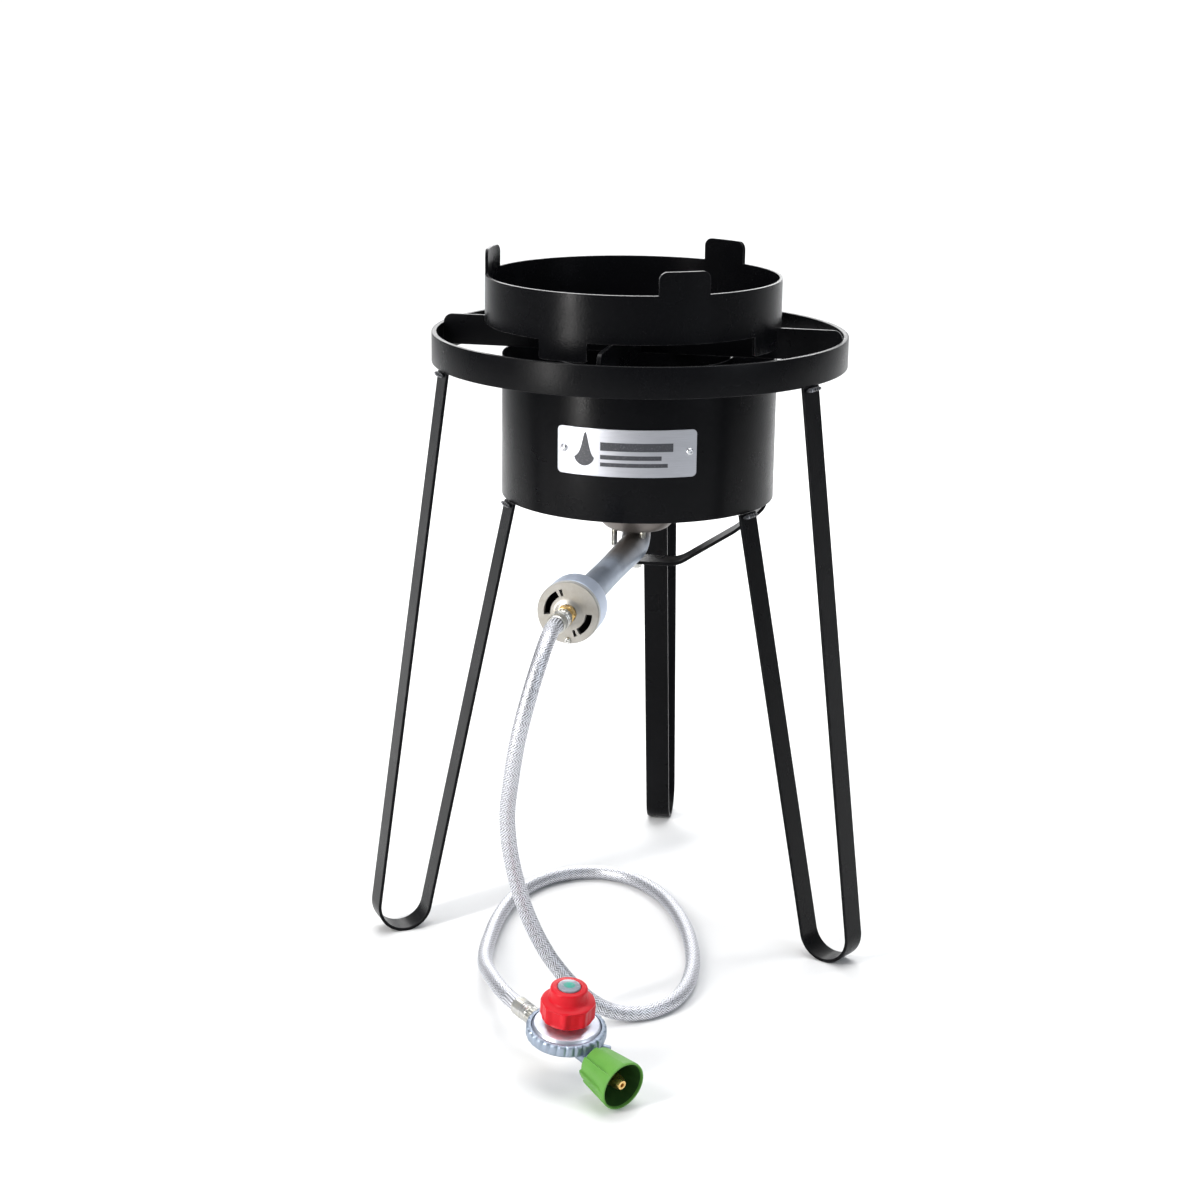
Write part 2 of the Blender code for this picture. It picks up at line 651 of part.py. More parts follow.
# ---------------------------------------------------------------- hanger strap and its bolt
def make_strap():
    wall = SHROUD_R - SHROUD_T
    end_x = math.sqrt(wall ** 2 - (STRAP_W / 2.0) ** 2) - GAP - STRAP_T / 2.0
    # x and height over the flat middle of the strap
    line = [(-0.0180, 0.0), (0.0200, 0.0), (0.0400, 0.0), (0.0445, 0.0012), (0.0490, 0.0040),
            (0.1000, 0.0370), (0.1210, 0.0552), (end_x - 0.0029, 0.0614), (end_x - 0.0006, 0.0682),
            (end_x, 0.0752), (end_x, 0.1012)]
    strap = add_mesh("burner_strap", bent_bar(line, STRAP_T, STRAP_W), BLACK, move(z=STRAP_Z))
    hole = [(0.0, -0.020), (0.0036, -0.020), (0.0036, 0.020), (0.0, 0.020)]
    cutter = add_mesh("strap_hole_cutter", spin(hole, 24), BLACK, move(z=STRAP_Z))
    cut_with(strap, cutter, "bolt hole")
    bolt = [(0.0, -0.0081), (0.0052, -0.0081), (0.0058, -0.0074), (0.0058, -0.0022),
            (0.0075, -0.00205), (0.0075, -0.00185), (0.0033, -0.00185), (0.0033, 0.0014), (0.0, 0.0014)]
    add_mesh("strap_bolt", spin(bolt, 24), ZINC, move(z=STRAP_Z))


# ---------------------------------------------------------------- hose and its ferrules
def make_hose(inlet, outlet, inlet_frame, outlet_frame):
    ferrule = [(0.0, 0.0), (0.0078, 0.0), (0.0086, 0.0008), (0.0086, 0.0070), (0.0080, 0.0078),
               (0.0080, 0.0150), (0.0086, 0.0158), (0.0086, 0.0262), (0.0079, FERRULE_LENGTH),
               (0.0, FERRULE_LENGTH)]
    ends = []
    for side, parent, place, at in (("burner", inlet, inlet_frame, JET_NOSE + GAP),
                                    ("regulator", outlet, outlet_frame, OUTLET_LENGTH + GAP)):
        add_mesh("hose_ferrule_" + side, spin(ferrule, 18), ZINC, move(z=at), parent)
        out = at + FERRULE_LENGTH + GAP
        ends.append((place @ Vector((0.0, 0.0, out)), place @ Vector((0.0, 0.0, out + HOSE_STRAIGHT))))
    (start, after_start), (end, before_end) = ends
    route = (after_start,) + HOSE_ROUTE + (before_end,)
    add_tube("gas_hose", [start] + smooth_line(route, HOSE_STEP) + [end], HOSE_R, 2, BRAID)


# ---------------------------------------------------------------- regulator
# outside of the body below the diaphragm, as (r, z) from its middle outwards
BODY = ((0.0, -0.0195), (0.0100, -0.0195), (0.0125, -0.0185), (0.0150, -0.0160),
        (0.0195, -0.0125), (0.0240, -0.0098), (0.0290, -0.0070), (0.0310, -0.0050))


def make_regulator(seat):
    """Body, cover and what they hold. The seat empty has its z axis along the knob's axis."""
    add_mesh("regulator_body", spin(list(BODY) + [(0.0310, -0.0030), (0.0, -0.0030)], 32), GREY, None, seat)
    crimp = [(0.0314, -0.0058), (0.0345, -0.0052), (0.0352, -0.0030), (0.0352, 0.0030),
             (0.0342, 0.0048), (0.0309, 0.0052), (0.0309, 0.0027), (0.0314, 0.0025)]
    add_mesh("regulator_crimp_ring", spin(crimp, 56, True, flutes(28, 0.0007, 0.0340)), GREY, None, seat)
    add_mesh("regulator_diaphragm", spin(
        [(0.0, -0.0027), (0.0308, -0.0027), (0.0308, -0.0015), (0.0, -0.0015)], 32), BLACK, None, seat)
    cover = [(0.0080, 0.0010), (0.0090, 0.0010), (0.0280, -0.0010), (0.0304, -0.0010),
             (0.0304, 0.0045), (0.0287, 0.0060), (0.0287, 0.0072), (0.0270, 0.0082),
             (0.0130, 0.0112), (0.0115, 0.0140), (0.0080, 0.0140)]
    add_mesh("regulator_cover", spin(cover, 32, True), STEEL, None, seat)
    add_mesh("regulator_spring_seat", spin(
        [(0.0, -0.0012), (0.0072, -0.0012), (0.0072, 0.0006), (0.0, 0.0006)], 24), ZINC, None, seat)

    turns, per_turn = 3, 10
    coil_r, wire_r, low, rise = 0.0055, 0.0009, 0.0022, 0.0088
    coil = []
    for k in range(turns * per_turn + 1):
        a = 2.0 * math.pi * k / per_turn
        coil.append((coil_r * math.cos(a), coil_r * math.sin(a), low + rise * k / (turns * per_turn)))
    add_tube("regulator_spring", coil, wire_r, 1, ZINC, seat)

    knob = [(0.0, 0.0143), (0.0224, 0.0143), (0.0238, 0.0155), (0.0240, 0.0285),
            (0.0228, 0.0308), (0.0172, 0.0322), (0.0166, 0.0335), (0.0162, 0.0428),
            (0.0150, 0.0442), (0.0104, 0.0442), (0.0104, 0.0430), (0.0, 0.0430)]
    add_mesh("regulator_knob", spin(knob, 48, False, ribs(8, 0.0018, 0.0200)), RED, None, seat)
    add_mesh("knob_indicator", spin(
        [(0.0, 0.0433), (0.0100, 0.0433), (0.0100, 0.0450), (0.0090, 0.0457), (0.0, 0.0458)], 28),
        GREY, None, seat)


def make_ports(seat, outlet, inlet):
    """Necks, stem and cylinder nut. The port empties have their z axes along the fittings."""
    outer = [(r + 0.0002, z - 0.0002) for r, z in BODY[1:]]
    cutter_profile = [(0.0, outer[0][1])] + outer + [(outer[-1][0], 0.0), (0.0, 0.0)]
    cutter = add_mesh("port_cutter", spin(cutter_profile, 40), GREY, None, seat)
    neck = [(0.0, 0.0090), (0.0058, 0.0090), (0.0058, 0.0358), (0.0092, 0.0362), (0.0098, 0.0368),
            (0.0098, 0.0412), (0.0092, OUTLET_LENGTH), (0.0, OUTLET_LENGTH)]
    outlet_neck = add_mesh("outlet_neck", spin(neck, 24, False, hexagon(0.0090)), BRASS, None, outlet)
    boss = [(0.0, 0.0090), (0.0060, 0.0090), (0.0060, 0.0356), (0.0098, 0.0361), (0.0105, 0.0368),
            (0.0105, 0.0400), (0.0, 0.0400)]
    inlet_neck = add_mesh("inlet_neck", spin(boss, 24), GREY, None, inlet)
    vent = [(0.0, 0.0150), (0.0028, 0.0150), (0.0028, 0.0400), (0.0020, 0.0408), (0.0, 0.0408)]
    vent_place = move(z=-0.0095) @ turn(35.0) @ turn(90.0, "Y")
    vent_stub = add_mesh("regulator_vent", spin(vent, 14), GREY, vent_place, seat)
    for piece in (outlet_neck, inlet_neck, vent_stub):
        cut_with(piece, cutter, "fit to body")
    stem = [(0.0, 0.0403), (0.0058, 0.0403), (0.0058, 0.0477), (0.0090, 0.0482), (0.0090, 0.0572),
            (0.0074, 0.0592), (0.0056, 0.0752), (0.0040, 0.0782), (0.0018, 0.0782), (0.0018, 0.0732),
            (0.0, 0.0732)]
    add_mesh("inlet_stem", spin(stem, 24), BRASS, None, inlet)
    nut_outside = [(0.0158, 0.0406), (0.0172, 0.0412), (0.0180, 0.0428), (0.0213, 0.0700),
                   (NUT_R, 0.0775), (0.0221, 0.0795), (0.0214, 0.0804)]
    nut_inside = [(0.0206, 0.0804), (0.0203, 0.0796), (0.0150, 0.0520), (0.0146, 0.0452), (0.0064, 0.0442)]
    nut = [(0.0064, 0.0406)] + nut_outside + nut_inside
    add_mesh("cylinder_nut", spin(nut, 64, True, steps_round(8, 0.0014, nut_outside)), GREEN, None, inlet)


# ---------------------------------------------------------------- the whole stand
def main():
    mixer_frame = frame(INLET * FACE_AT + UP * VENTURI_Z, INLET, UP)
    seat_frame = frame(REG_ORIGIN, REG_UP, REG_ARM)
    port_drop = Vector((0.0, 0.0, REG_PORT_Z))
    outlet_local = frame(port_drop, Vector((-1.0, 0.0, 0.0)), UP)
    inlet_local = frame(port_drop, Vector((1.0, 0.0, 0.0)), UP)
    mixer_empty = link_object("gas_inlet", None, mixer_frame)
    seat = link_object("regulator_seat", None, seat_frame)
    outlet = link_object("regulator_outlet", None, outlet_local, seat)
    inlet = link_object("regulator_inlet", None, inlet_local, seat)

    make_rings()
    make_bars()
    make_legs()
    make_wok_ring()
    make_nameplate()
    make_burner()
    make_mixer(mixer_empty)
    make_strap()
    make_regulator(seat)
    make_ports(seat, outlet, inlet)
    make_hose(mixer_empty, outlet, mixer_frame, seat_frame @ outlet_local)


main()
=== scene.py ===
import json
import math

import bmesh
import bpy
from mathutils import Matrix, Vector


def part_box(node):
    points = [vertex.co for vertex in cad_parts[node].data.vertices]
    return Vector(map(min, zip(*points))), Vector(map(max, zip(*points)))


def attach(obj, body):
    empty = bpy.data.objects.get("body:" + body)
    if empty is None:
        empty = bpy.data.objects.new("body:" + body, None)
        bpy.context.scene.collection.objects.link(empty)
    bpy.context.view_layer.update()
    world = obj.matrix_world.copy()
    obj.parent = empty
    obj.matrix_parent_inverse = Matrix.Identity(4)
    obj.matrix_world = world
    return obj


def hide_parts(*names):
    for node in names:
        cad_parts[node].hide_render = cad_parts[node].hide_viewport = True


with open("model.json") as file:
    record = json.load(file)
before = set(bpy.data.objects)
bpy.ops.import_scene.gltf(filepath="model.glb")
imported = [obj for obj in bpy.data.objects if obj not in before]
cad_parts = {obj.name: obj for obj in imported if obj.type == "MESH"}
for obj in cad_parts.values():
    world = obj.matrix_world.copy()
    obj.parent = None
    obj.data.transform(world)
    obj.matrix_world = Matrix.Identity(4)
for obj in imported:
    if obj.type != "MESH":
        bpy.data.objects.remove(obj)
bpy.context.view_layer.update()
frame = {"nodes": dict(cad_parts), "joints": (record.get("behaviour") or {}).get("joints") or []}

UP = Vector((0.0, 0.0, 1.0))
JOINTS = {joint["name"]: joint for joint in frame["joints"]}


# ---- camera, floor and light
CAMERA_AZIMUTH = 7.75        # degrees round the stand from its front, towards +X
CAMERA_DISTANCE = 2.326      # from the burner axis, on the level
CAMERA_HEIGHT = 0.965
CAMERA_PITCH = 15.55         # degrees down
CAMERA_YAW = 0.88            # degrees to the left of the burner axis
CAMERA_ROLL = 0.72           # degrees
CAMERA_LENS = 71.96          # millimetres, on a 36 mm sensor


def polar(angle_deg, radius, z=0.0):
    """Point at an angle from the front (-Y), positive towards +X."""
    a = math.radians(angle_deg)
    return Vector((radius * math.sin(a), -radius * math.cos(a), z))


def make_camera():
    data = bpy.data.cameras.new("camera")
    data.lens = CAMERA_LENS
    data.sensor_width = 36.0
    data.clip_start = 0.05
    camera = bpy.data.objects.new("camera", data)
    bpy.context.scene.collection.objects.link(camera)
    camera.location = polar(CAMERA_AZIMUTH, CAMERA_DISTANCE, CAMERA_HEIGHT)
    aim = (Matrix.Rotation(math.radians(CAMERA_AZIMUTH + CAMERA_YAW), 4, "Z")
           @ Matrix.Rotation(math.radians(90.0 - CAMERA_PITCH), 4, "X")
           @ Matrix.Rotation(math.radians(CAMERA_ROLL), 4, "Z"))
    camera.rotation_euler = aim.to_euler()
    bpy.context.scene.camera = camera


def area_light(name, place, target, size, power, colour=(1.0, 1.0, 1.0)):
    data = bpy.data.lights.new(name, "AREA")
    data.shape = "RECTANGLE"
    data.size, data.size_y = size
    data.energy = power
    data.color = colour
    light = bpy.data.objects.new(name, data)
    bpy.context.scene.collection.objects.link(light)
    light.location = place
    light.rotation_euler = (Vector(target) - Vector(place)).to_track_quat("-Z", "Y").to_euler()


def make_floor():
    """Pale floor that curves up into a wall well behind the stand."""
    half = 9.0
    turn_at = 3.6
    height = 6.5
    curve = 1.2
    steps = 12
    line = [(-half, 0.0), (turn_at, 0.0)]
    for k in range(1, steps + 1):
        a = math.radians(90.0 * k / steps)
        line.append((turn_at + curve * math.sin(a), curve * (1.0 - math.cos(a))))
    line.append((turn_at + curve, height))
    mesh = bpy.data.meshes.new("studio_floor")
    verts = [(x, y, z) for y, z in line for x in (-half, half)]
    faces = [(2 * k, 2 * k + 1, 2 * k + 3, 2 * k + 2) for k in range(len(line) - 1)]
    mesh.from_pydata(verts, [], faces)
    mesh.shade_smooth()
    floor = bpy.data.objects.new("studio_floor", mesh)
    bpy.context.scene.collection.objects.link(floor)
    mat = bpy.data.materials.new("studio_floor")
    mat.use_nodes = True
    shader = mat.node_tree.nodes["Principled BSDF"]
    shader.inputs["Base Color"].default_value = (0.8, 0.8, 0.8, 1.0)
    shader.inputs["Roughness"].default_value = 0.8
    mesh.materials.append(mat)


def make_light():
    world = bpy.data.worlds.new("studio")
    world.use_nodes = True
    sky = world.node_tree.nodes["Background"]
    sky.inputs["Color"].default_value = (0.88, 0.93, 1.0, 1.0)
    sky.inputs["Strength"].default_value = 0.26
    bpy.context.scene.world = world
    middle = (0.0, 0.0, 0.42)
    area_light("key", polar(-40.0, 2.5, 1.75), middle, (0.3, 1.5), 50.0, (1.0, 0.98, 0.95))
    # a low strip, for the narrow upright highlight on the rings
    area_light("streak", polar(-40.0, 2.5, 0.42), middle, (0.22, 0.8), 22.0, (1.0, 0.98, 0.96))
    area_light("fill", polar(62.0, 2.8, 1.5), middle, (0.8, 1.8), 20.0, (0.9, 0.95, 1.0))
    area_light("top", (0.1, 0.2, 3.2), middle, (2.4, 2.4), 62.0)
    area_light("back", (-0.6, 2.4, 1.6), middle, (1.6, 1.2), 22.0)
    area_light("wall", (0.0, 1.6, 4.2), (0.0, 4.8, 1.4), (6.0, 1.5), 260.0)
    bpy.context.scene.view_settings.view_transform = "Standard"


# ---- shapes
def frame_at(origin, z_axis, x_hint):
    """Matrix that carries local z to z_axis, with local x close to x_hint."""
    z = Vector(z_axis).normalized()
    x = (Vector(x_hint) - Vector(x_hint).dot(z) * z).normalized()
    return Matrix.Translation(origin) @ Matrix((x, z.cross(x), z)).transposed().to_4x4()


def soften(profile, radius, steps=3, closed=False):
    """Round the corners of a line of 2-D points with short curves."""
    line = [Vector(p) for p in profile]
    count = len(line)
    out = []
    for i, corner in enumerate(line):
        if not closed and i in (0, count - 1):
            out.append(tuple(corner))
            continue
        before = line[i - 1] - corner
        after = line[(i + 1) % count] - corner
        start = corner + before * min(radius / before.length, 0.45)
        end = corner + after * min(radius / after.length, 0.45)
        for k in range(steps + 1):
            t = k / steps
            point = start * (1 - t) ** 2 + corner * 2 * t * (1 - t) + end * t ** 2
            out.append(tuple(point))
    return out


def spin(profile, segments=96, closed=False, rule=None):
    """Turn (r, z) points about local z. rule(angle, r, z) may return a changed radius."""
    bm = bmesh.new()
    verts = [bm.verts.new((r, 0.0, z)) for r, z in profile]
    edges = [bm.edges.new(pair) for pair in zip(verts, verts[1:])]
    if closed:
        edges.append(bm.edges.new((verts[-1], verts[0])))
    bmesh.ops.spin(bm, geom=verts + edges, cent=(0.0, 0.0, 0.0), axis=UP,
                   angle=2.0 * math.pi, steps=segments, use_duplicate=False)
    bmesh.ops.remove_doubles(bm, verts=bm.verts, dist=1e-6)
    if rule:
        for v in bm.verts:
            r = math.hypot(v.co.x, v.co.y)
            if r > 1e-6:
                factor = rule(math.atan2(v.co.y, v.co.x), r, v.co.z) / r
                v.co.x *= factor
                v.co.y *= factor
    return bm


def ring_profile(r_out, thickness, low, high, edge=0.0007):
    r_in = r_out - thickness
    return soften([(r_in, low), (r_out, low), (r_out, high), (r_in, high)], edge, 3, True)


def hexagon(beyond, across_corners):
    """Radius rule that trims circles larger than a radius to one hexagon."""
    def rule(angle, r, z):
        if r <= beyond:
            return r
        part = (angle + math.pi / 6.0) % (math.pi / 3.0) - math.pi / 6.0
        return min(r, across_corners / 2.0 * math.cos(math.pi / 6.0) / math.cos(part))
    return rule


def ribs(count, depth, low, high, narrowness):
    """Radius rule that leaves narrow upright ribs on a band between two heights."""
    def rule(angle, r, z):
        fade = min(max((z - low) / 0.0008, 0.0), 1.0) * min(max((high - z) / 0.0015, 0.0), 1.0)
        return r - depth * fade * (1.0 - abs(math.cos(count * angle / 2.0)) ** narrowness)
    return rule


def steps_round(count, depth, fade_from, fade_to):
    """Radius rule for a row of shallow steps, like a ratchet, that fade out towards one height."""
    drop = 0.05

    def rule(angle, r, z):
        part = (-count * angle / (2.0 * math.pi)) % 1.0
        rise = 1.0 - part / drop if part < drop else (part - drop) / (1.0 - drop)
        fade = min(max((fade_to - z) / (fade_to - fade_from), 0.0), 1.0)
        return r - depth * fade * (1.0 - rise)
    return rule


def mm(*points):
    """Points given in millimetres, in metres."""
    return [tuple(0.001 * value for value in point) for point in points]


def turn(angle_deg, axis="Z"):
    return Matrix.Rotation(math.radians(angle_deg), 4, axis)


def lift(height):
    return Matrix.Translation((0.0, 0.0, height))


def thicken(bm, place_back):
    """Extrude an open sheet into a closed plate. place_back(co) gives the place behind a point."""
    made = bmesh.ops.extrude_face_region(bm, geom=list(bm.faces))
    for item in made["geom"]:
        if isinstance(item, bmesh.types.BMVert):
            item.co = place_back(item.co)
    return bm


def sheet(grid, keep, wrap):
    """Open sheet over a grid of points. keep(i, j) says which cells are metal."""
    bm = bmesh.new()
    columns = len(grid)
    used = {}

    def vert(i, j):
        key = (i % columns, j)
        if key not in used:
            used[key] = bm.verts.new(grid[key[0]][key[1]])
        return used[key]

    for i in range(columns if wrap else columns - 1):
        for j in range(len(grid[0]) - 1):
            if keep(i, j):
                bm.faces.new((vert(i, j), vert(i + 1, j), vert(i + 1, j + 1), vert(i, j + 1)))
    return bm


def closer_by(distance):
    """Rule for thicken: the place a distance closer to the z axis."""
    def rule(co):
        return co - Vector((co.x, co.y, 0.0)).normalized() * distance
    return rule


def offset_line(points, distance):
    """Mitred offset of an open line of (x, z) points, to its left for a positive distance."""
    line = [Vector(p) for p in points]
    steps = [(b - a).normalized() for a, b in zip(line, line[1:])]
    out = []
    for i, p in enumerate(line):
        before = steps[max(i - 1, 0)]
        after = steps[min(i, len(steps) - 1)]
        side = Vector((-before.y, before.x))
        mitre = (side + Vector((-after.y, after.x))).normalized()
        out.append(p + mitre * (distance / mitre.dot(side)))
    return out


def bent_bar(points, thickness, width):
    """Flat bar bent along (x, z) points, with its width along local y."""
    sides = zip(offset_line(points, thickness / 2.0), offset_line(points, -thickness / 2.0))
    grid = [[(p.x, -width / 2.0, p.y) for p in pair] for pair in sides]
    bm = sheet(grid, lambda i, j: True, False)
    return thicken(bm, lambda co: co + Vector((0.0, width, 0.0)))


def arc(cx, cz, radius, start, end, steps):
    angles = [math.radians(start + (end - start) * k / steps) for k in range(steps + 1)]
    return [(cx + radius * math.cos(a), cz + radius * math.sin(a)) for a in angles]


def smooth_line(route, step):
    """Catmull-Rom line through the route, with points about one step apart."""
    pts = [Vector(p) for p in route]
    pts = [2.0 * pts[0] - pts[1]] + pts + [2.0 * pts[-1] - pts[-2]]
    fine = 24
    dense = []
    for p0, p1, p2, p3 in zip(pts, pts[1:], pts[2:], pts[3:]):
        for s in range(fine):
            t = s / fine
            dense.append(0.5 * (2.0 * p1 + (p2 - p0) * t + (2.0 * p0 - 5.0 * p1 + 4.0 * p2 - p3) * t ** 2
                                + (3.0 * p1 - p0 - 3.0 * p2 + p3) * t ** 3))
    dense.append(pts[-2])
    walked = [0.0]
    for a, b in zip(dense, dense[1:]):
        walked.append(walked[-1] + (b - a).length)
    count = round(walked[-1] / step)
    out = []
    k = 0
    for n in range(count):
        target = walked[-1] * n / count
        while walked[k + 1] < target:
            k += 1
        out.append(dense[k].lerp(dense[k + 1], (target - walked[k]) / (walked[k + 1] - walked[k])))
    return out + [dense[-1]]


def add_piece(name, bm, body, nodes, material, place=None, edge=0.0, sharp=38.0):
    """Turn a bmesh into a piece that rides on a body, stands for its CAD nodes and has a material."""
    bmesh.ops.remove_doubles(bm, verts=bm.verts, dist=1e-7)
    bmesh.ops.recalc_face_normals(bm, faces=bm.faces)
    if bm.calc_volume(signed=True) < 0:
        bmesh.ops.reverse_faces(bm, faces=bm.faces)
    mesh = bpy.data.meshes.new(name)
    bm.to_mesh(mesh)
    bm.free()
    mesh.shade_smooth()
    mesh.set_sharp_from_angle(angle=math.radians(sharp))
    mesh.materials.append(material)
    obj = bpy.data.objects.new(name, mesh)
    bpy.context.scene.collection.objects.link(obj)
    if place is not None:
        obj.matrix_world = place
    if edge:
        bevel = obj.modifiers.new("eased edges", "BEVEL")
        bevel.width = edge
        bevel.segments = 3
        bevel.limit_method = "ANGLE"
        bevel.angle_limit = math.radians(40.0)
        bevel.harden_normals = True
    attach(obj, body)
    if nodes:
        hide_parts(*nodes)
    return obj


def fine(node, bm, material, place=None, body="stand", edge=0.0, sharp=38.0):
    """Add the piece that stands for one CAD node."""
    return add_piece(node + "_fine", bm, body, [node], material, place, edge, sharp)


# ---- materials
class Finish:
    """A procedural material, built up in object coordinates."""

    def __init__(self, name, colour, metallic, roughness):
        self.mat = bpy.data.materials.new(name)
        self.mat.use_nodes = True
        self.tree = self.mat.node_tree
        self.shader = self.tree.nodes["Principled BSDF"]
        self.put("Base Color", (*colour, 1.0))
        self.put("Metallic", metallic)
        self.put("Roughness", roughness)
        self.colour_out = self.tree.nodes.new("ShaderNodeRGB").outputs[0]
        self.colour_out.default_value = (*colour, 1.0)
        self.normal_out = None
        self.coords = self.tree.nodes.new("ShaderNodeTexCoord").outputs["Object"]

    def put(self, socket, value):
        """Set a value that is the same all over."""
        self.shader.inputs[socket].default_value = value

    def node(self, kind, sockets=None, **values):
        made = self.tree.nodes.new(kind)
        for key, value in values.items():
            setattr(made, key, value)
        for key, value in (sockets or {}).items():
            made.inputs[key].default_value = value
        return made

    def link(self, a, b):
        self.tree.links.new(a, b)

    def noise(self, scale, detail=4.0, rough=0.55, stretch=(1.0, 1.0, 1.0)):
        place = self.node("ShaderNodeMapping", {"Scale": stretch})
        self.link(self.coords, place.inputs["Vector"])
        made = self.node("ShaderNodeTexNoise", {"Scale": scale, "Detail": detail, "Roughness": rough})
        self.link(place.outputs[0], made.inputs["Vector"])
        return made.outputs["Fac"]

    def spread(self, value, low, high, to_low=0.0, to_high=1.0):
        """Map a value from one range to another, clamped."""
        made = self.node("ShaderNodeMapRange",
                         {"From Min": low, "From Max": high, "To Min": to_low, "To Max": to_high})
        self.link(value, made.inputs["Value"])
        return made.outputs[0]

    def times(self, a, b):
        made = self.node("ShaderNodeMath", operation="MULTIPLY")
        self.link(a, made.inputs[0])
        if isinstance(b, float):
            made.inputs[1].default_value = b
        else:
            self.link(b, made.inputs[1])
        return made.outputs[0]

    def tint(self, factor, colour):
        """Mix the surface towards a colour where factor is high."""
        made = self.node("ShaderNodeMix", data_type="RGBA")
        self.link(factor, made.inputs["Factor"])
        self.link(self.colour_out, made.inputs[6])
        made.inputs[7].default_value = (*colour, 1.0)
        self.colour_out = made.outputs[2]
        return self

    def cloud(self, scale, detail, low, high, most, colour):
        """Mix towards a colour, up to a share, where a noise lies between two values or above."""
        return self.tint(self.spread(self.noise(scale, detail), low, high, 0.0, most), colour)

    def rough(self, factor, low, high):
        """Roughness from low to high as factor goes from 0 to 1."""
        self.link(self.spread(factor, 0.0, 1.0, low, high), self.shader.inputs["Roughness"])
        return self

    def bump(self, height, distance, strength=1.0):
        made = self.node("ShaderNodeBump", {"Distance": distance, "Strength": strength})
        self.link(height, made.inputs["Height"])
        if self.normal_out is not None:
            self.link(self.normal_out, made.inputs["Normal"])
        self.normal_out = made.outputs[0]
        return self

    def height_and_radius(self):
        """The z coordinate and the distance from the z axis, in the object's own frame."""
        split = self.node("ShaderNodeSeparateXYZ")
        self.link(self.coords, split.inputs[0])
        flat = self.node("ShaderNodeCombineXYZ")
        self.link(split.outputs["X"], flat.inputs["X"])
        self.link(split.outputs["Y"], flat.inputs["Y"])
        away = self.node("ShaderNodeVectorMath", operation="LENGTH")
        self.link(flat.outputs[0], away.inputs[0])
        return split.outputs["Z"], away.outputs["Value"]

    def upward(self, low=0.35, high=0.95):
        """High on faces that look up, where dust settles."""
        geometry = self.node("ShaderNodeNewGeometry")
        split = self.node("ShaderNodeSeparateXYZ")
        self.link(geometry.outputs["Normal"], split.inputs[0])
        return self.spread(split.outputs["Z"], low, high)

    def edges(self, radius=0.0012):
        """High along convex edges."""
        bevel = self.node("ShaderNodeBevel", {"Radius": radius}, samples=4)
        geometry = self.node("ShaderNodeNewGeometry")
        dot = self.node("ShaderNodeVectorMath", operation="DOT_PRODUCT")
        self.link(bevel.outputs[0], dot.inputs[0])
        self.link(geometry.outputs["Normal"], dot.inputs[1])
        return self.spread(dot.outputs["Value"], 0.98, 0.8)

    def done(self):
        self.link(self.colour_out, self.shader.inputs["Base Color"])
        if self.normal_out is not None:
            self.link(self.normal_out, self.shader.inputs["Normal"])
        return self.mat


def powder_coat(name, roughness=0.26):
    """Satin black powder coat: orange peel, faint blotches, a little dust, and worn edges that also carry a
    painted highlight along the rims.
    """
    m = Finish(name, (0.0022, 0.0023, 0.0029), 0.0, roughness)
    m.put("Specular IOR Level", 0.09)
    blotch = m.noise(9.0, 5.0)
    peel = m.noise(520.0, 2.0)
    grit = m.noise(2600.0, 1.0)
    m.tint(m.spread(blotch, 0.35, 0.75, 0.0, 0.55), (0.0048, 0.005, 0.006))
    dust = m.times(m.upward(), m.spread(m.noise(46.0, 6.0, 0.7), 0.45, 0.75))
    m.tint(m.times(dust, 0.07), (0.13, 0.13, 0.12))
    # paler convex edges: partly real wear, partly a painted highlight along the rims
    worn_and_highlight = m.times(m.edges(), m.spread(m.noise(90.0, 3.0), 0.35, 0.62))
    m.tint(m.times(worn_and_highlight, 0.5), (0.12, 0.12, 0.125))
    m.rough(m.noise(24.0, 4.0), roughness - 0.07, roughness + 0.13)
    m.bump(peel, 0.00022, 0.5)
    m.bump(grit, 0.00004, 0.35)
    return m.done()


def plated(name, colour=(0.6, 0.6, 0.58), roughness=0.3, warm=(0.62, 0.57, 0.42)):
    """Zinc or nickel plate with cloudy variation and fine scratches."""
    m = Finish(name, colour, 1.0, roughness)
    m.cloud(120.0, 4.0, 0.45, 0.72, 0.55, warm)
    m.rough(m.noise(240.0, 4.0), roughness - 0.08, roughness + 0.16)
    m.bump(m.noise(900.0, 3.0), 0.00005, 0.5)
    return m.done()


def brass(name):
    """Turned brass with darker patches."""
    m = Finish(name, (0.78, 0.53, 0.2), 1.0, 0.26)
    m.cloud(150.0, 4.0, 0.45, 0.75, 0.6, (0.42, 0.25, 0.09))
    m.rough(m.noise(300.0, 3.0), 0.18, 0.4)
    m.bump(m.noise(1400.0, 2.0), 0.00004, 0.5)
    return m.done()


def cast_paint(name, colour, rough=0.42, metallic=0.75, grain=0.0003, brown_above=None):
    """Metal paint over a casting. brown_above adds the burnt bowl and the paler end of the inlet."""
    m = Finish(name, colour, metallic, rough)
    m.cloud(34.0, 5.0, 0.45, 0.75, 0.6, tuple(c * 0.62 for c in colour))
    m.cloud(700.0, 2.0, 0.6, 0.75, 0.5, tuple(min(c * 1.4, 0.9) for c in colour))
    if brown_above is not None:
        height, radius = m.height_and_radius()
        burnt = m.times(m.spread(height, brown_above - 0.016, brown_above, 0.0, 0.9),
                        m.spread(radius, 0.12, 0.085))
        m.tint(burnt, (0.2, 0.17, 0.145))
        m.tint(m.spread(radius, 0.222, 0.236), (0.52, 0.58, 0.69))
    m.rough(m.noise(60.0, 4.0), rough - 0.08, rough + 0.16)
    m.bump(m.noise(420.0, 5.0, 0.6), grain, 0.6)
    m.bump(m.noise(90.0, 3.0), grain * 2.0, 0.35)
    return m.done()


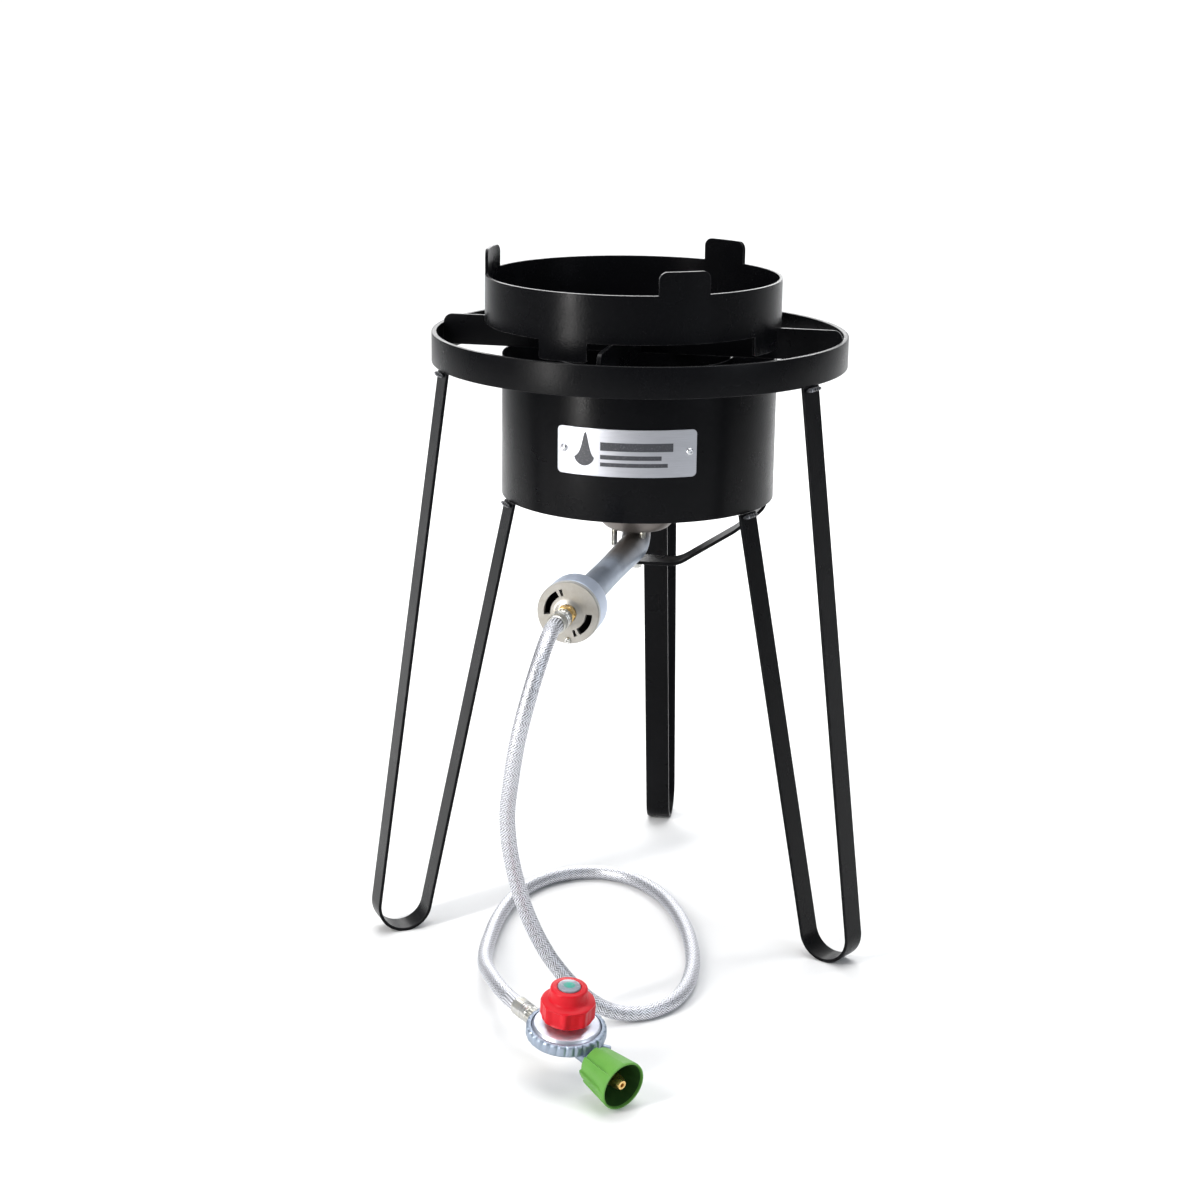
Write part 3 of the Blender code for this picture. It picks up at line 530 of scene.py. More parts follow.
def plastic(name, colour, dark, roughness):
    """Moulded plastic with a faint flow pattern, scuffs, a matt sheen and paler edges that are partly
    scuffing and partly a painted highlight.
    """
    m = Finish(name, colour, 0.0, roughness)
    m.put("Specular IOR Level", 0.24)
    m.put("Subsurface Weight", 0.04)
    m.put("Subsurface Radius", (0.002, 0.001, 0.001))
    m.cloud(55.0, 4.0, 0.4, 0.75, 0.5, dark)
    # paler convex edges: partly scuffing, partly a painted highlight
    m.tint(m.times(m.edges(0.0008), 0.25), tuple(min(1.0, c * 1.15 + 0.1) for c in colour))
    m.rough(m.noise(420.0, 4.0), roughness - 0.06, roughness + 0.16)
    m.bump(m.noise(1500.0, 2.0), 0.00005, 0.5)
    return m.done()


def rubber(name):
    """Dull black sheet rubber."""
    m = Finish(name, (0.022, 0.022, 0.022), 0.0, 0.65)
    m.cloud(200.0, 3.0, 0.4, 0.7, 0.4, (0.05, 0.05, 0.05))
    m.bump(m.noise(800.0, 3.0), 0.0001, 0.5)
    return m.done()


def brushed_plate(name):
    """Aluminium sheet brushed along the plate, which is rolled about the z axis."""
    m = Finish(name, (0.52, 0.53, 0.57), 1.0, 0.3)
    m.put("Anisotropic", 0.75)
    tangent = m.node("ShaderNodeTangent", direction_type="RADIAL", axis="Z")
    m.link(tangent.outputs[0], m.shader.inputs["Tangent"])
    streaks = m.noise(1.0, 3.0, 0.6, (60.0, 60.0, 5200.0))
    m.tint(m.spread(streaks, 0.35, 0.7, 0.0, 0.65), (0.38, 0.39, 0.42))
    m.rough(m.noise(1.0, 3.0, 0.6, (40.0, 40.0, 3000.0)), 0.22, 0.42)
    m.bump(streaks, 0.00003, 0.4)
    return m.done()


def braid_metal(name):
    """Stainless wire, with painted shade between the strands of the weave."""
    m = Finish(name, (0.86, 0.87, 0.92), 1.0, 0.44)
    weave = m.node("ShaderNodeAttribute", attribute_name="weave")
    m.cloud(260.0, 3.0, 0.45, 0.75, 0.4, (0.66, 0.67, 0.71))
    # painted shade: darker where the weave sinks between the bundles
    m.tint(m.spread(weave.outputs["Fac"], 0.93, 0.5), (0.07, 0.07, 0.08))
    m.rough(m.noise(600.0, 3.0), 0.4, 0.6)
    m.bump(m.noise(2400.0, 2.0), 0.00004, 0.6)
    return m.done()


def weld_metal(name):
    """Weld bead under the same black coat, with pale blue-white spots that are a painted highlight."""
    m = Finish(name, (0.022, 0.023, 0.027), 0.15, 0.24)
    # painted highlight: pale blue-white spots that stand in for glints on the bead
    m.tint(m.spread(m.noise(240.0, 4.0), 0.6, 0.7), (0.3, 0.31, 0.35))
    m.rough(m.noise(400.0, 3.0), 0.16, 0.4)
    m.bump(m.noise(700.0, 3.0), 0.00018, 0.6)
    return m.done()


def printed_ink(name):
    """Black ink with faint worn spots."""
    m = Finish(name, (0.035, 0.037, 0.045), 0.0, 0.45)
    m.cloud(900.0, 3.0, 0.55, 0.75, 0.5, (0.2, 0.2, 0.22))
    m.rough(m.noise(500.0, 3.0), 0.38, 0.6)
    m.bump(m.noise(1500.0, 2.0), 0.00003, 0.5)
    return m.done()


def dial_face(name):
    """Grey label under clear plastic, with a green spot near its middle."""
    m = Finish(name, (0.24, 0.27, 0.31), 0.0, 0.22)
    m.put("Coat Weight", 0.25)
    radius = m.height_and_radius()[1]
    m.tint(m.spread(radius, 0.0056, 0.0042), (0.04, 0.34, 0.26))
    m.cloud(420.0, 3.0, 0.45, 0.7, 0.5, (0.16, 0.19, 0.22))
    m.rough(m.noise(300.0, 3.0), 0.16, 0.34)
    m.bump(m.noise(900.0, 2.0), 0.00003, 0.4)
    return m.done()


BLACK = powder_coat("stand_powder_coat")
BLACK_WOK = powder_coat("wok_ring_powder_coat", 0.23)
ZINC = plated("zinc_plate")
NICKEL = plated("shutter_nickel", (0.4, 0.385, 0.355), 0.42, (0.33, 0.31, 0.265))
STEEL = plated("bright_steel", (0.72, 0.73, 0.75), 0.2, (0.55, 0.56, 0.6))
BRASS = brass("machined_brass")
CAST = cast_paint("aluminium_paint", (0.33, 0.38, 0.46), brown_above=0.392)
FACE_CAST = cast_paint("mixer_face_paint", (0.5, 0.5, 0.49), 0.45)
# near-black material for the casting's inside faces: painted shade
CAST_PAINTED_SHADE = cast_paint("casting_inside_painted_shade", (0.025, 0.023, 0.021), 0.8, 0.0)
CAST_HEAD = cast_paint("burner_head_iron", (0.2, 0.19, 0.18), 0.6, 0.6, 0.0005)
DIECAST = cast_paint("regulator_diecast", (0.34, 0.4, 0.49), 0.38, 0.85, 0.00012)
LABEL = plated("regulator_cover_plate", (0.68, 0.7, 0.78), 0.36, (0.56, 0.58, 0.68))
RED = plastic("red_plastic", (0.58, 0.004, 0.014), (0.44, 0.003, 0.009), 0.36)
GREEN = plastic("green_plastic", (0.115, 0.31, 0.055), (0.075, 0.23, 0.035), 0.4)
# dark green for the nut's inside faces: painted shade
GREEN_PAINTED_SHADE = plastic("green_plastic_painted_shade", (0.02, 0.07, 0.012), (0.01, 0.04, 0.008), 0.5)
RUBBER = rubber("diaphragm_rubber")
PLATE = brushed_plate("brushed_aluminium")
BRAID = braid_metal("stainless_braid")
INK = printed_ink("label_ink")
DIAL = dial_face("knob_dial")
WELD = weld_metal("weld_metal")


# ---- the hose
VENTURI = JOINTS["air_shutter_turn"]
INLET = Vector(VENTURI["axis"])
SHUTTER_AT = Vector(VENTURI["pos_m"])
SEAT = frame_at(JOINTS["pressure_knob_turn"]["pos_m"], JOINTS["pressure_knob_turn"]["axis"],
                JOINTS["cylinder_nut_turn"]["axis"])
ARM = Vector(JOINTS["cylinder_nut_turn"]["axis"])
PORT = Vector(JOINTS["cylinder_nut_turn"]["pos_m"])
IN_PORT = frame_at(PORT, ARM, SEAT.col[2].to_3d())
OUT_PORT = frame_at(PORT, -ARM, SEAT.col[2].to_3d())
GAP = 0.0003
FACE_AT = Vector((SHUTTER_AT.x, SHUTTER_AT.y, 0.0)).length - 0.005
FACE = frame_at(INLET * FACE_AT + UP * SHUTTER_AT.z, INLET, UP)
JET_NOSE = 0.02
FERRULE_LENGTH = 0.027
OUTLET_LENGTH = 0.0417
HOSE_R = 0.0072
HOSE_STRAIGHT = 0.012

# the same route as the CAD hose
HOSE_ROUTE = (
    (-0.0308, -0.342, 0.3718), (-0.0335, -0.362, 0.3582), (-0.0382, -0.3752, 0.338),
    (-0.044, -0.38, 0.314), (-0.05, -0.3785, 0.287), (-0.056, -0.371, 0.254),
    (-0.062, -0.357, 0.218), (-0.062, -0.348, 0.185), (-0.0585, -0.337, 0.151),
    (-0.052, -0.327, 0.118), (-0.042, -0.318, 0.087), (-0.027, -0.311, 0.057),
    (-0.004, -0.308, 0.03), (0.024, -0.306, 0.0125), (0.052, -0.296, 0.0074),
    (0.074, -0.273, 0.0074), (0.085, -0.239, 0.0074), (0.087, -0.194, 0.0074),
    (0.081, -0.144, 0.0074), (0.066, -0.085, 0.0074), (0.04, -0.024, 0.0074),
    (0.006, 0.018, 0.0074), (-0.031, 0.035, 0.0074), (-0.067, 0.028, 0.0074),
    (-0.096, 0.0, 0.0074), (-0.114, -0.045, 0.0074), (-0.12, -0.1, 0.0074),
    (-0.118, -0.158, 0.0088), (-0.111, -0.214, 0.016), (-0.1, -0.264, 0.027),
    (-0.085, -0.31, 0.0385), (-0.07, -0.347, 0.045),
)


def braided_tube(line, radius, around, strands, pitch):
    """Tube along a line whose surface is woven from flat bundles of wire."""
    bm = bmesh.new()
    weave = bm.verts.layers.float.new("weave")
    side = (line[1] - line[0]).cross(Vector((0.3, 0.2, 0.9))).normalized()
    rings = []
    walked = 0.0
    depth = 0.0005
    for k, point in enumerate(line):
        before = line[max(k - 1, 0)]
        after = line[min(k + 1, len(line) - 1)]
        along = (after - before).normalized()
        side = (side - side.dot(along) * along).normalized()
        up = along.cross(side)
        if k:
            walked += (point - line[k - 1]).length
        turn = 2.0 * math.pi * walked / pitch
        ring = []
        for n in range(around):
            a = 2.0 * math.pi * n / around
            u = strands * (a + turn) / (2.0 * math.pi)
            v = strands * (a - turn) / (2.0 * math.pi)
            over = math.cos(math.pi * (math.floor(u) + math.floor(v)))
            bundle_u = math.sin(math.pi * (u % 1.0)) ** 0.5
            bundle_v = math.sin(math.pi * (v % 1.0)) ** 0.5
            rise = max(bundle_u * (0.62 + 0.38 * over), bundle_v * (0.62 - 0.38 * over))
            r = radius - depth * (1.0 - rise)
            vert = bm.verts.new(point + r * (math.cos(a) * side + math.sin(a) * up))
            # the rise is kept for the material, which paints shade where it is low
            vert[weave] = rise
            ring.append(vert)
        rings.append(ring)
    for first, second in zip(rings, rings[1:]):
        for n in range(around):
            m = (n + 1) % around
            bm.faces.new((first[n], first[m], second[m], second[n]))
    bm.faces.new(list(reversed(rings[0])))
    bm.faces.new(rings[-1])
    return bm


def make_hose():
    start = FACE @ Vector((0.0, 0.0, JET_NOSE + FERRULE_LENGTH + 2.0 * GAP))
    end = OUT_PORT @ Vector((0.0, 0.0, OUTLET_LENGTH + FERRULE_LENGTH + 2.0 * GAP))
    route = (start + HOSE_STRAIGHT * INLET,) + HOSE_ROUTE + (end - HOSE_STRAIGHT * ARM,)
    line = [start] + smooth_line(route, step=0.0008) + [end]
    hose = add_piece("hose_braid", braided_tube(line, HOSE_R, around=64, strands=16, pitch=0.046), "stand",
                     ["gas_hose"], BRAID, sharp=80.0)


# ---- upright rings, bars and legs
RING_T = 0.005
SHROUD_T = 0.002
COLLAR_T = 0.0025
BAR_T = 0.004
BAR_CORNER = 0.0085
BAR_TURN = -3.0


def half_width(node):
    low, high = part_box(node)
    return (high.x - low.x) / 2.0


def make_rings():
    for node, thickness, edge in (("outer_ring", RING_T, 0.0009), ("wind_shroud", SHROUD_T, 0.0005),
                                  ("inner_collar", COLLAR_T, 0.0006)):
        low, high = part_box(node)
        profile = ring_profile(half_width(node), thickness, low.z, high.z, edge)
        fine(node, spin(profile, 192, True), BLACK)


def bar_outline(slot_on_top, half, low, top):
    """Outline of a support bar, with the half-lap slot where the two bars cross."""
    slot = BAR_T / 2.0 + GAP
    depth = (top - low) / 2.0 + GAP / 2.0
    right = arc(half - BAR_CORNER, top - BAR_CORNER, BAR_CORNER, 0.0, 90.0, 10)
    left = arc(BAR_CORNER - half, top - BAR_CORNER, BAR_CORNER, 90.0, 180.0, 10)
    notch_top = [(slot, top), (slot, top - depth), (-slot, top - depth), (-slot, top)]
    notch_low = [(-slot, low), (-slot, low + depth), (slot, low + depth), (slot, low)]
    if slot_on_top:
        return [(-half, low), (half, low)] + right + notch_top + left
    return [(-half, low)] + notch_low + [(half, low)] + right + left


def flat_plate(outline, thickness):
    """Plate with an (x, z) outline, centred on y = 0."""
    bm = bmesh.new()
    bm.faces.new([bm.verts.new((x, -thickness / 2.0, z)) for x, z in outline])
    return thicken(bm, lambda co: co + Vector((0.0, thickness, 0.0)))


def make_bars():
    low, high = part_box("cross_bar_side")
    half = half_width("outer_ring") - RING_T - 0.0004
    for node, slot_on_top, angle in (("cross_bar_side", True, BAR_TURN),
                                     ("cross_bar_front", False, BAR_TURN + 90.0)):
        outline = bar_outline(slot_on_top, half, low.z, high.z)
        fine(node, flat_plate(outline, BAR_T), BLACK, turn(angle), edge=0.0005)


LEG_ANGLES = {"right": 60.0, "left": -60.0, "rear": 180.0}
LEG_W = 0.0254
LEG_T = 0.0032
LEG_OUTER_R = 0.2008
LEG_INNER_R = 0.1336
FOOT_R = {"right": 0.2475, "left": 0.2475, "rear": 0.2385}
FOOT_BEND = 0.0262


def leg_line(foot_r):
    """Mid-surface of a hairpin leg as (radius, z), from the ring round the foot to the shroud."""
    centre = Vector((foot_r, FOOT_BEND + LEG_T / 2.0))
    top_out = Vector((LEG_OUTER_R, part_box("outer_ring")[0].z - GAP))
    top_in = Vector((LEG_INNER_R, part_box("wind_shroud")[0].z - GAP))

    def tangent_angle(point, side):
        away = point - centre
        return math.degrees(math.atan2(away.y, away.x) - side * math.acos(FOOT_BEND / away.length))

    first = tangent_angle(top_out, 1.0)
    last = tangent_angle(top_in, -1.0)
    bend = arc(centre.x, centre.y, FOOT_BEND, first, last - 360.0, 40)
    straight_out = [tuple(top_out.lerp(Vector(bend[0]), k / 12.0)) for k in range(12)]
    straight_in = [tuple(Vector(bend[-1]).lerp(top_in, k / 10.0)) for k in range(1, 11)]
    return straight_out + bend + straight_in


def weld_bead(length, width, ripples):
    """Weld bead along local z, with the ripples of its puddle."""
    steps = 44
    profile = []
    for k in range(steps + 1):
        t = k / steps
        envelope = (1.0 - abs(2.0 * t - 1.0) ** 3.2) ** 0.5
        ripple = 1.0 - 0.16 * (0.5 + 0.5 * math.cos(2.0 * math.pi * ripples * t))
        profile.append((width * envelope * ripple, length * (t - 0.5)))
    profile[0] = (0.0, -length / 2.0)
    profile[-1] = (0.0, length / 2.0)
    return spin(profile, 20)


def make_legs():
    for side, angle in LEG_ANGLES.items():
        line = leg_line(FOOT_R[side])
        fine("leg_" + side, bent_bar(line, LEG_T, LEG_W), BLACK,
             turn(angle - 90.0), edge=0.0006)
        along = Vector((math.cos(math.radians(angle)), math.sin(math.radians(angle)), 0.0))
        for edge, ripples in (("ring", 7), ("shroud", 6)):
            node = "weld_%s_%s" % (edge, side)
            low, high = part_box(node)
            fine(node, weld_bead(0.0236, 0.0024, ripples), WELD, frame_at((low + high) / 2.0, along, UP),
                 sharp=60.0)


# ---- loose wok ring
WOK_R = 0.1445
WOK_T = 0.003
WOK_CENTRE = Vector((-0.007, 0.0, 0.0))
WOK_BAND = 0.0455
FINGER_ANGLES = (27.3, 147.3, 267.3)
TAB_ANGLES = (-19.2, 70.8, 160.8, 250.8)
FINGER_HALF = 10.1
FINGER_CORNER = 0.008
TAB_CORNER = 0.003


def nearest(angle, centres):
    """Degrees from an angle to the closest of some centres."""
    return min(abs((angle - c + 180.0) % 360.0 - 180.0) for c in centres)


def corner_drop(inside, radius):
    """How far a rounded corner lies back, at a distance inside the end."""
    part = 1.0 - min(max(inside / radius, 0.0), 1.0)
    return radius * (1.0 - math.sqrt(max(0.0, 1.0 - part * part)))


def make_wok_ring():
    low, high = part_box("wok_ring")
    band_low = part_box("cross_bar_side")[1].z + GAP
    band_high = band_low + WOK_BAND
    marks = set()
    for centres, corner in ((FINGER_ANGLES, FINGER_CORNER), (TAB_ANGLES, TAB_CORNER)):
        span = math.degrees(corner / WOK_R)
        for c in centres:
            for side in (-1, 1):
                for part in (0.0, 0.04, 0.12, 0.25, 0.45, 0.7, 1.0):
                    marks.add(round((c + side * (FINGER_HALF - span * part)) % 360.0, 3))
    for k in range(180):
        if nearest(k * 2.0, marks) > 0.35:
            marks.add(k * 2.0)
    angles = sorted(marks)
    grid = []
    for a in angles:
        in_finger = math.radians(FINGER_HALF - nearest(a, FINGER_ANGLES)) * WOK_R
        in_tab = math.radians(FINGER_HALF - nearest(a, TAB_ANGLES)) * WOK_R
        top = high.z - corner_drop(in_finger, FINGER_CORNER)
        bottom = low.z + corner_drop(in_tab, TAB_CORNER)
        grid.append([polar(a, WOK_R, z) for z in (bottom, band_low, band_high, top)])

    def keep(i, j):
        after = angles[i + 1] if i + 1 < len(angles) else angles[0] + 360.0
        middle = (angles[i] + after) / 2.0
        if j == 0:
            return nearest(middle, TAB_ANGLES) < FINGER_HALF
        if j == 2:
            return nearest(middle, FINGER_ANGLES) < FINGER_HALF
        return True

    fine("wok_ring", thicken(sheet(grid, keep, True), closer_by(WOK_T)), BLACK_WOK,
         Matrix.Translation(WOK_CENTRE), "wok_ring", 0.0006)


# ---- nameplate
PLATE_ANGLE = 2.8
PLATE_HALF = 28.8
PLATE_T = 0.0012
INK_T = 0.00012
PLATE_CORNER = 0.0045


def make_nameplate():
    low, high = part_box("nameplate")
    shroud_r = half_width("wind_shroud")
    half = math.radians(PLATE_HALF) * shroud_r
    corner = PLATE_CORNER / half
    left = [-1.0 + corner * part for part in (0.0, 0.02, 0.08, 0.18, 0.32, 0.5, 0.73, 1.0)]
    middle = [-0.9 + 0.05 * k for k in range(37)]
    grid = []
    for mark in left + middle + [-m for m in reversed(left)]:
        cut = corner_drop((1.0 - abs(mark)) * half, PLATE_CORNER)
        angle = PLATE_ANGLE + PLATE_HALF * mark
        grid.append([polar(angle, shroud_r + GAP + PLATE_T, z) for z in (low.z + cut, high.z - cut)])
    plate = thicken(sheet(grid, lambda i, j: True, False), closer_by(PLATE_T))
    fine("nameplate", plate, PLATE, edge=0.00025)


def pan_head(radius, height, recess):
    """Half profile of a screw head with a round-cornered top and a recess."""
    return soften([(0.0, 0.0), (radius, 0.0), (radius, 0.35 * height), (0.72 * radius, 0.85 * height),
                   (recess, height), (recess * 0.8, 0.35 * height), (0.0, 0.25 * height)], 0.0004, 3)


def make_plate_screws():
    for side in ("left", "right"):
        node = "nameplate_screw_" + side
        low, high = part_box(node)
        middle = (low + high) / 2.0
        out = Vector((middle.x, middle.y, 0.0)).normalized()
        spot = out * (half_width("wind_shroud") + 2.0 * GAP + PLATE_T) + UP * middle.z
        fine(node, spin(pan_head(0.0036, 0.0022, 0.0016), 40), STEEL, frame_at(spot, out, UP))


def make_plate_motif():
    """A plain generic label on the nameplate: a flame and three rules, printed as thin raised ink."""
    low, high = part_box("nameplate")
    radius = half_width("wind_shroud") + GAP + PLATE_T
    middle_z = (low.z + high.z) / 2.0

    def on_plate(u, v):
        """u along the plate and v up it, both in metres from its middle."""
        return polar(PLATE_ANGLE + math.degrees(u / radius), radius, middle_z + v)

    def ink(columns):
        """Lay a patch of ink. columns are (u, low v, high v)."""
        grid = [[on_plate(u, low_v), on_plate(u, high_v)] for u, low_v, high_v in columns]
        part = thicken(sheet(grid, lambda i, j: True, False), closer_by(-INK_T))
        mesh = bpy.data.meshes.new("ink")
        part.to_mesh(mesh)
        part.free()
        bm.from_mesh(mesh)
        bpy.data.meshes.remove(mesh)

    def rule(u0, u1, v0, v1):
        steps = 20
        ink([(u0 + (u1 - u0) * k / steps, v0, v1) for k in range(steps + 1)])

    bm = bmesh.new()
    rule(-0.024, 0.045, 0.002, 0.01)
    rule(-0.024, 0.034, -0.0062, -0.002)
    rule(-0.024, 0.04, -0.013, -0.0092)
    # the flame, column by column: a round foot, and a tip just right of the middle
    flame = []
    steps = 24
    for k in range(steps + 1):
        t = k / steps
        foot = -0.006 - 0.0076 * math.sin(math.pi * t) ** 0.6
        tip = -0.0055 + 0.0195 * math.exp(-((t - 0.56) / 0.2) ** 2) + 0.005 * math.sin(math.pi * t)
        flame.append((-0.05 + 0.02 * t, foot, tip))
    ink(flame)
    add_piece("nameplate_ink", bm, "stand", [], INK)


# ---- burner casting, head and studs
VENTURI_Z = SHUTTER_AT.z
CASTING_TOP = VENTURI_Z + 0.0908
ELBOW_R = 0.0152
SIDE = UP.cross(INLET).normalized()
# the inlet tube: distance in front of the burner axis, outer and inner radius, in millimetres
TUBE = mm((260.0, 28.4, 26.6), (259.6, 28.9, 26.5), (258.8, 29.0, 26.4), (255.0, 29.0, 26.4),
          (244.0, 28.9, 26.3), (235.0, 28.8, 26.2), (233.6, 28.6, 24.8), (232.5, 27.8, 22.5),
          (231.5, 26.2, 19.5), (230.5, 23.8, 16.5), (229.7, 20.4, 13.8), (229.0, 17.4, 11.8),
          (228.1, 15.4, 10.8), (226.5, 14.4, 10.2), (223.0, 14.0, 9.9), (210.0, 13.8, 9.7),
          (190.0, 13.7, 9.6), (155.0, 13.4, 9.6), (120.0, 13.2, 9.6), (95.0, 13.3, 9.8),
          (70.0, 13.6, 10.2), (55.0, 13.9, 10.5), (40.0, 14.1, 10.8), (28.0, 14.2, 10.8))
# the bowl above the elbow: height over the inlet, outer and inner radius, in millimetres
BOWL = mm((15.4, 16.0, 10.9), (15.8, 20.0, 11.0), (16.6, 24.0, 11.2), (17.8, 28.0, 11.8),
          (19.6, 31.5, 13.2), (22.0, 34.2, 15.8), (25.0, 36.5, 19.0), (28.0, 38.5, 22.5),
          (31.0, 40.5, 26.5), (34.8, 43.2, 32.0), (39.8, 47.6, 40.0), (45.8, 53.8, 47.5),
          (51.8, 59.0, 53.5), (58.8, 63.0, 57.5), (65.8, 65.5, 60.5), (73.8, 67.1, 62.2),
          (81.3, 67.9, 63.4), (83.3, 68.8, 63.8), (84.6, 71.2, 64.0), (85.6, 71.5, 64.0),
          (90.0, 71.5, 64.0), (90.8, 70.8, 64.6))


def casting_stations():
    """Sections of the casting as (centre, direction, outer radius, inner radius)."""
    out = [(INLET * r + UP * VENTURI_Z, -INLET, outer, inner) for r, outer, inner in TUBE]
    steps = 20
    for k in range(steps + 1):
        a = math.radians(90.0 * k / steps)
        forward = ELBOW_R * (1.0 - math.sin(a))
        rise = ELBOW_R * (1.0 - math.cos(a))
        heading = UP * math.sin(a) - INLET * math.cos(a)
        out.append((INLET * forward + UP * (VENTURI_Z + rise), heading, 0.0142, 0.0108))
    return out + [(UP * (VENTURI_Z + rise), UP, outer, inner) for rise, outer, inner in BOWL]


def hollow_casting(stations, segments):
    """Tube with its own inside, bridged from ring to ring; the inside faces take the second material, a
    painted shade.
    """
    bm = bmesh.new()

    def ring(centre, direction, radius):
        place = Matrix.Translation(centre) @ Matrix(
            (SIDE, direction.cross(SIDE), direction)).transposed().to_4x4()
        made = bmesh.ops.create_circle(bm, segments=segments, radius=radius, matrix=place)
        verts = made["verts"]
        return [bm.edges.get((a, b)) for a, b in zip(verts, verts[1:] + verts[:1])]

    outside = [ring(c, d, outer) for c, d, outer, inner in stations]
    inside = [ring(c, d, inner) for c, d, outer, inner in stations]
    loop = outside + list(reversed(inside))
    for k, (a, b) in enumerate(zip(loop, loop[1:] + loop[:1])):
        made = bmesh.ops.bridge_loops(bm, edges=a + b)
        for face in made["faces"]:
            # inside faces take slot 1, the painted shade
            face.material_index = 1 if k >= len(outside) and k < len(loop) - 1 else 0
    return bm


def lower_to(z):
    """Rule for thicken: the place straight below or above, at one height."""
    def rule(co):
        return Vector((co.x, co.y, z))
    return rule


def burner_head():
    """Cast port ring: a domed cap with slots round its rim."""
    per_slot = 6
    count = 16 * per_slot
    radii = (0.01, 0.0125, 0.02, 0.032, 0.04, 0.048, 0.05, 0.06, 0.069, 0.0708, 0.0712)
    heights = (0.011, 0.0128, 0.0138, 0.0146, 0.015, 0.015, 0.0149, 0.013, 0.0107, 0.0098, 0.0088)
    grid = [[polar(360.0 * i / count, r, CASTING_TOP + h) for r, h in zip(radii, heights)]
            for i in range(count)]
    bm = sheet(grid, lambda i, j: not (5 <= j <= 6 and i % per_slot < per_slot // 2), True)
    return thicken(bm, lower_to(CASTING_TOP + GAP))


def make_stud(node):
    """Threaded stud that hangs under the bowl."""
    pitch = 0.0008
    low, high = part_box(node)
    length = high.z - low.z
    profile = [(0.0, -length), (0.0023, -length)]
    for k in range(int((length - 0.001) / pitch)):
        z = 0.0006 - length + pitch * k
        profile += [(0.0026, z), (0.003, z + 0.0003), (0.003, z + 0.0004)]
    profile += [(0.0028, 0.0), (0.0, 0.0)]
    middle = (low + high) / 2.0
    fine(node, spin(profile, 32), ZINC, Matrix.Translation((middle.x, middle.y, high.z)), sharp=30.0)


def make_burner():
    casting = fine("burner_casting", hollow_casting(casting_stations(), 72), CAST, sharp=50.0)
    # the inside of the casting is painted dark as shade
    casting.data.materials.append(CAST_PAINTED_SHADE)
    fine("burner_head", burner_head(), CAST_HEAD)
    head_bolt = soften(mm((0.0, 1.0), (9.4, 1.0), (9.4, 12.8), (8.5, 15.4), (0.0, 15.4)), 0.0005)
    fine("burner_head_bolt", spin(head_bolt, 72, False, hexagon(0.008, 0.0188)), ZINC,
         lift(CASTING_TOP))
    for side in ("left", "right"):
        make_stud("bowl_flange_bolt_" + side)


# ---- mixer face, shutter and jet
FACE_T = 0.0037
SHUTTER_T = 0.0015


def slotted_disc(radius, low, high, boss=0.0):
    """Round plate with a centre hole, two curved air slots, two small notches and a raised boss."""
    part = 2
    count = 48 * part
    openings = ((4, 13), (2, 3), (28, 36), (26, 27))
    ease = 0.0003
    radii = (0.0083, 0.0086, 0.0098, 0.0112, 0.0125, 0.014, 0.0163, 0.0225, radius - ease, radius)
    heights = (boss - ease, boss, 0.82 * boss, 0.38 * boss, 0.1 * boss, 0.0, 0.0, 0.0, 0.0, -ease)
    slot_row = radii.index(0.0163)
    grid = []
    for i in range(count):
        a = 2.0 * math.pi * i / count
        grid.append([(r * math.cos(a), r * math.sin(a), high + h) for r, h in zip(radii, heights)])

    def keep(i, j):
        return not (j == slot_row and any(first <= i // part < last for first, last in openings))

    return thicken(sheet(grid, keep, True), lower_to(low))


def make_mixer():
    fine("mixer_face", slotted_disc(0.029, GAP, GAP + FACE_T), FACE_CAST, FACE)
    shutter_low = FACE_T + 2.0 * GAP
    shutter_high = shutter_low + SHUTTER_T
    fine("air_shutter", slotted_disc(0.0284, shutter_low, shutter_high, 0.0022), NICKEL, FACE, "air_shutter")
    screw_out = 0.0254
    fine("shutter_screw", spin(pan_head(0.003, 0.0022, 0.0012), 36), ZINC,
         FACE @ Matrix.Translation((-screw_out, 0.0, shutter_high + GAP)), "air_shutter")
    jet = mm((1.5, -18.0), (4.5, -18.0), (6.0, -10.0), (7.8, -9.8), (7.8, 8.4), (8.4, 8.5), (9.3, 9.2),
             (9.3, 14.9), (8.4, 15.6), (7.2, 15.8), (6.6, 16.2), (6.6, 17.4), (7.0, 17.8))
    jet += [(0.007, JET_NOSE), (0.003, JET_NOSE)] + mm((3.0, -12.0), (1.5, -13.0))
    on_hose("orifice_fitting", spin(jet, 96, True, hexagon(0.008, 0.0186)), BRASS, FACE, sharp=28.0)


# ---- hanger strap and its bolt
STRAP_W = 0.03
STRAP_T = 0.0032


def make_strap():
    low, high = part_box("burner_strap")
    strap_z = low.z + STRAP_T / 2.0
    end_x = high.x - STRAP_T / 2.0
    line = [(-0.018, 0.0), (0.039, 0.0)] + soften(
        [(0.039, 0.0), (0.047, 0.0026), (0.058, 0.0098), (0.09, 0.0305), (0.1, 0.037),
         (0.121, 0.0552), (end_x - 0.0029, 0.0614), (end_x - 0.0006, 0.0682), (end_x, 0.0752)], 0.004, 3)[1:]
    line += [(end_x, 0.09), (end_x, 0.1012)]
    fine("burner_strap", bent_bar(line, STRAP_T, STRAP_W), BLACK, lift(strap_z),
         edge=0.0006)
    bolt = mm((0.0, -8.1), (5.2, -8.1), (5.8, -7.4), (5.8, -2.2), (7.5, -2.05), (7.5, -1.85),
              (0.0, -1.85))
    fine("strap_bolt", spin(soften(bolt, 0.0003), 72), ZINC, lift(strap_z))


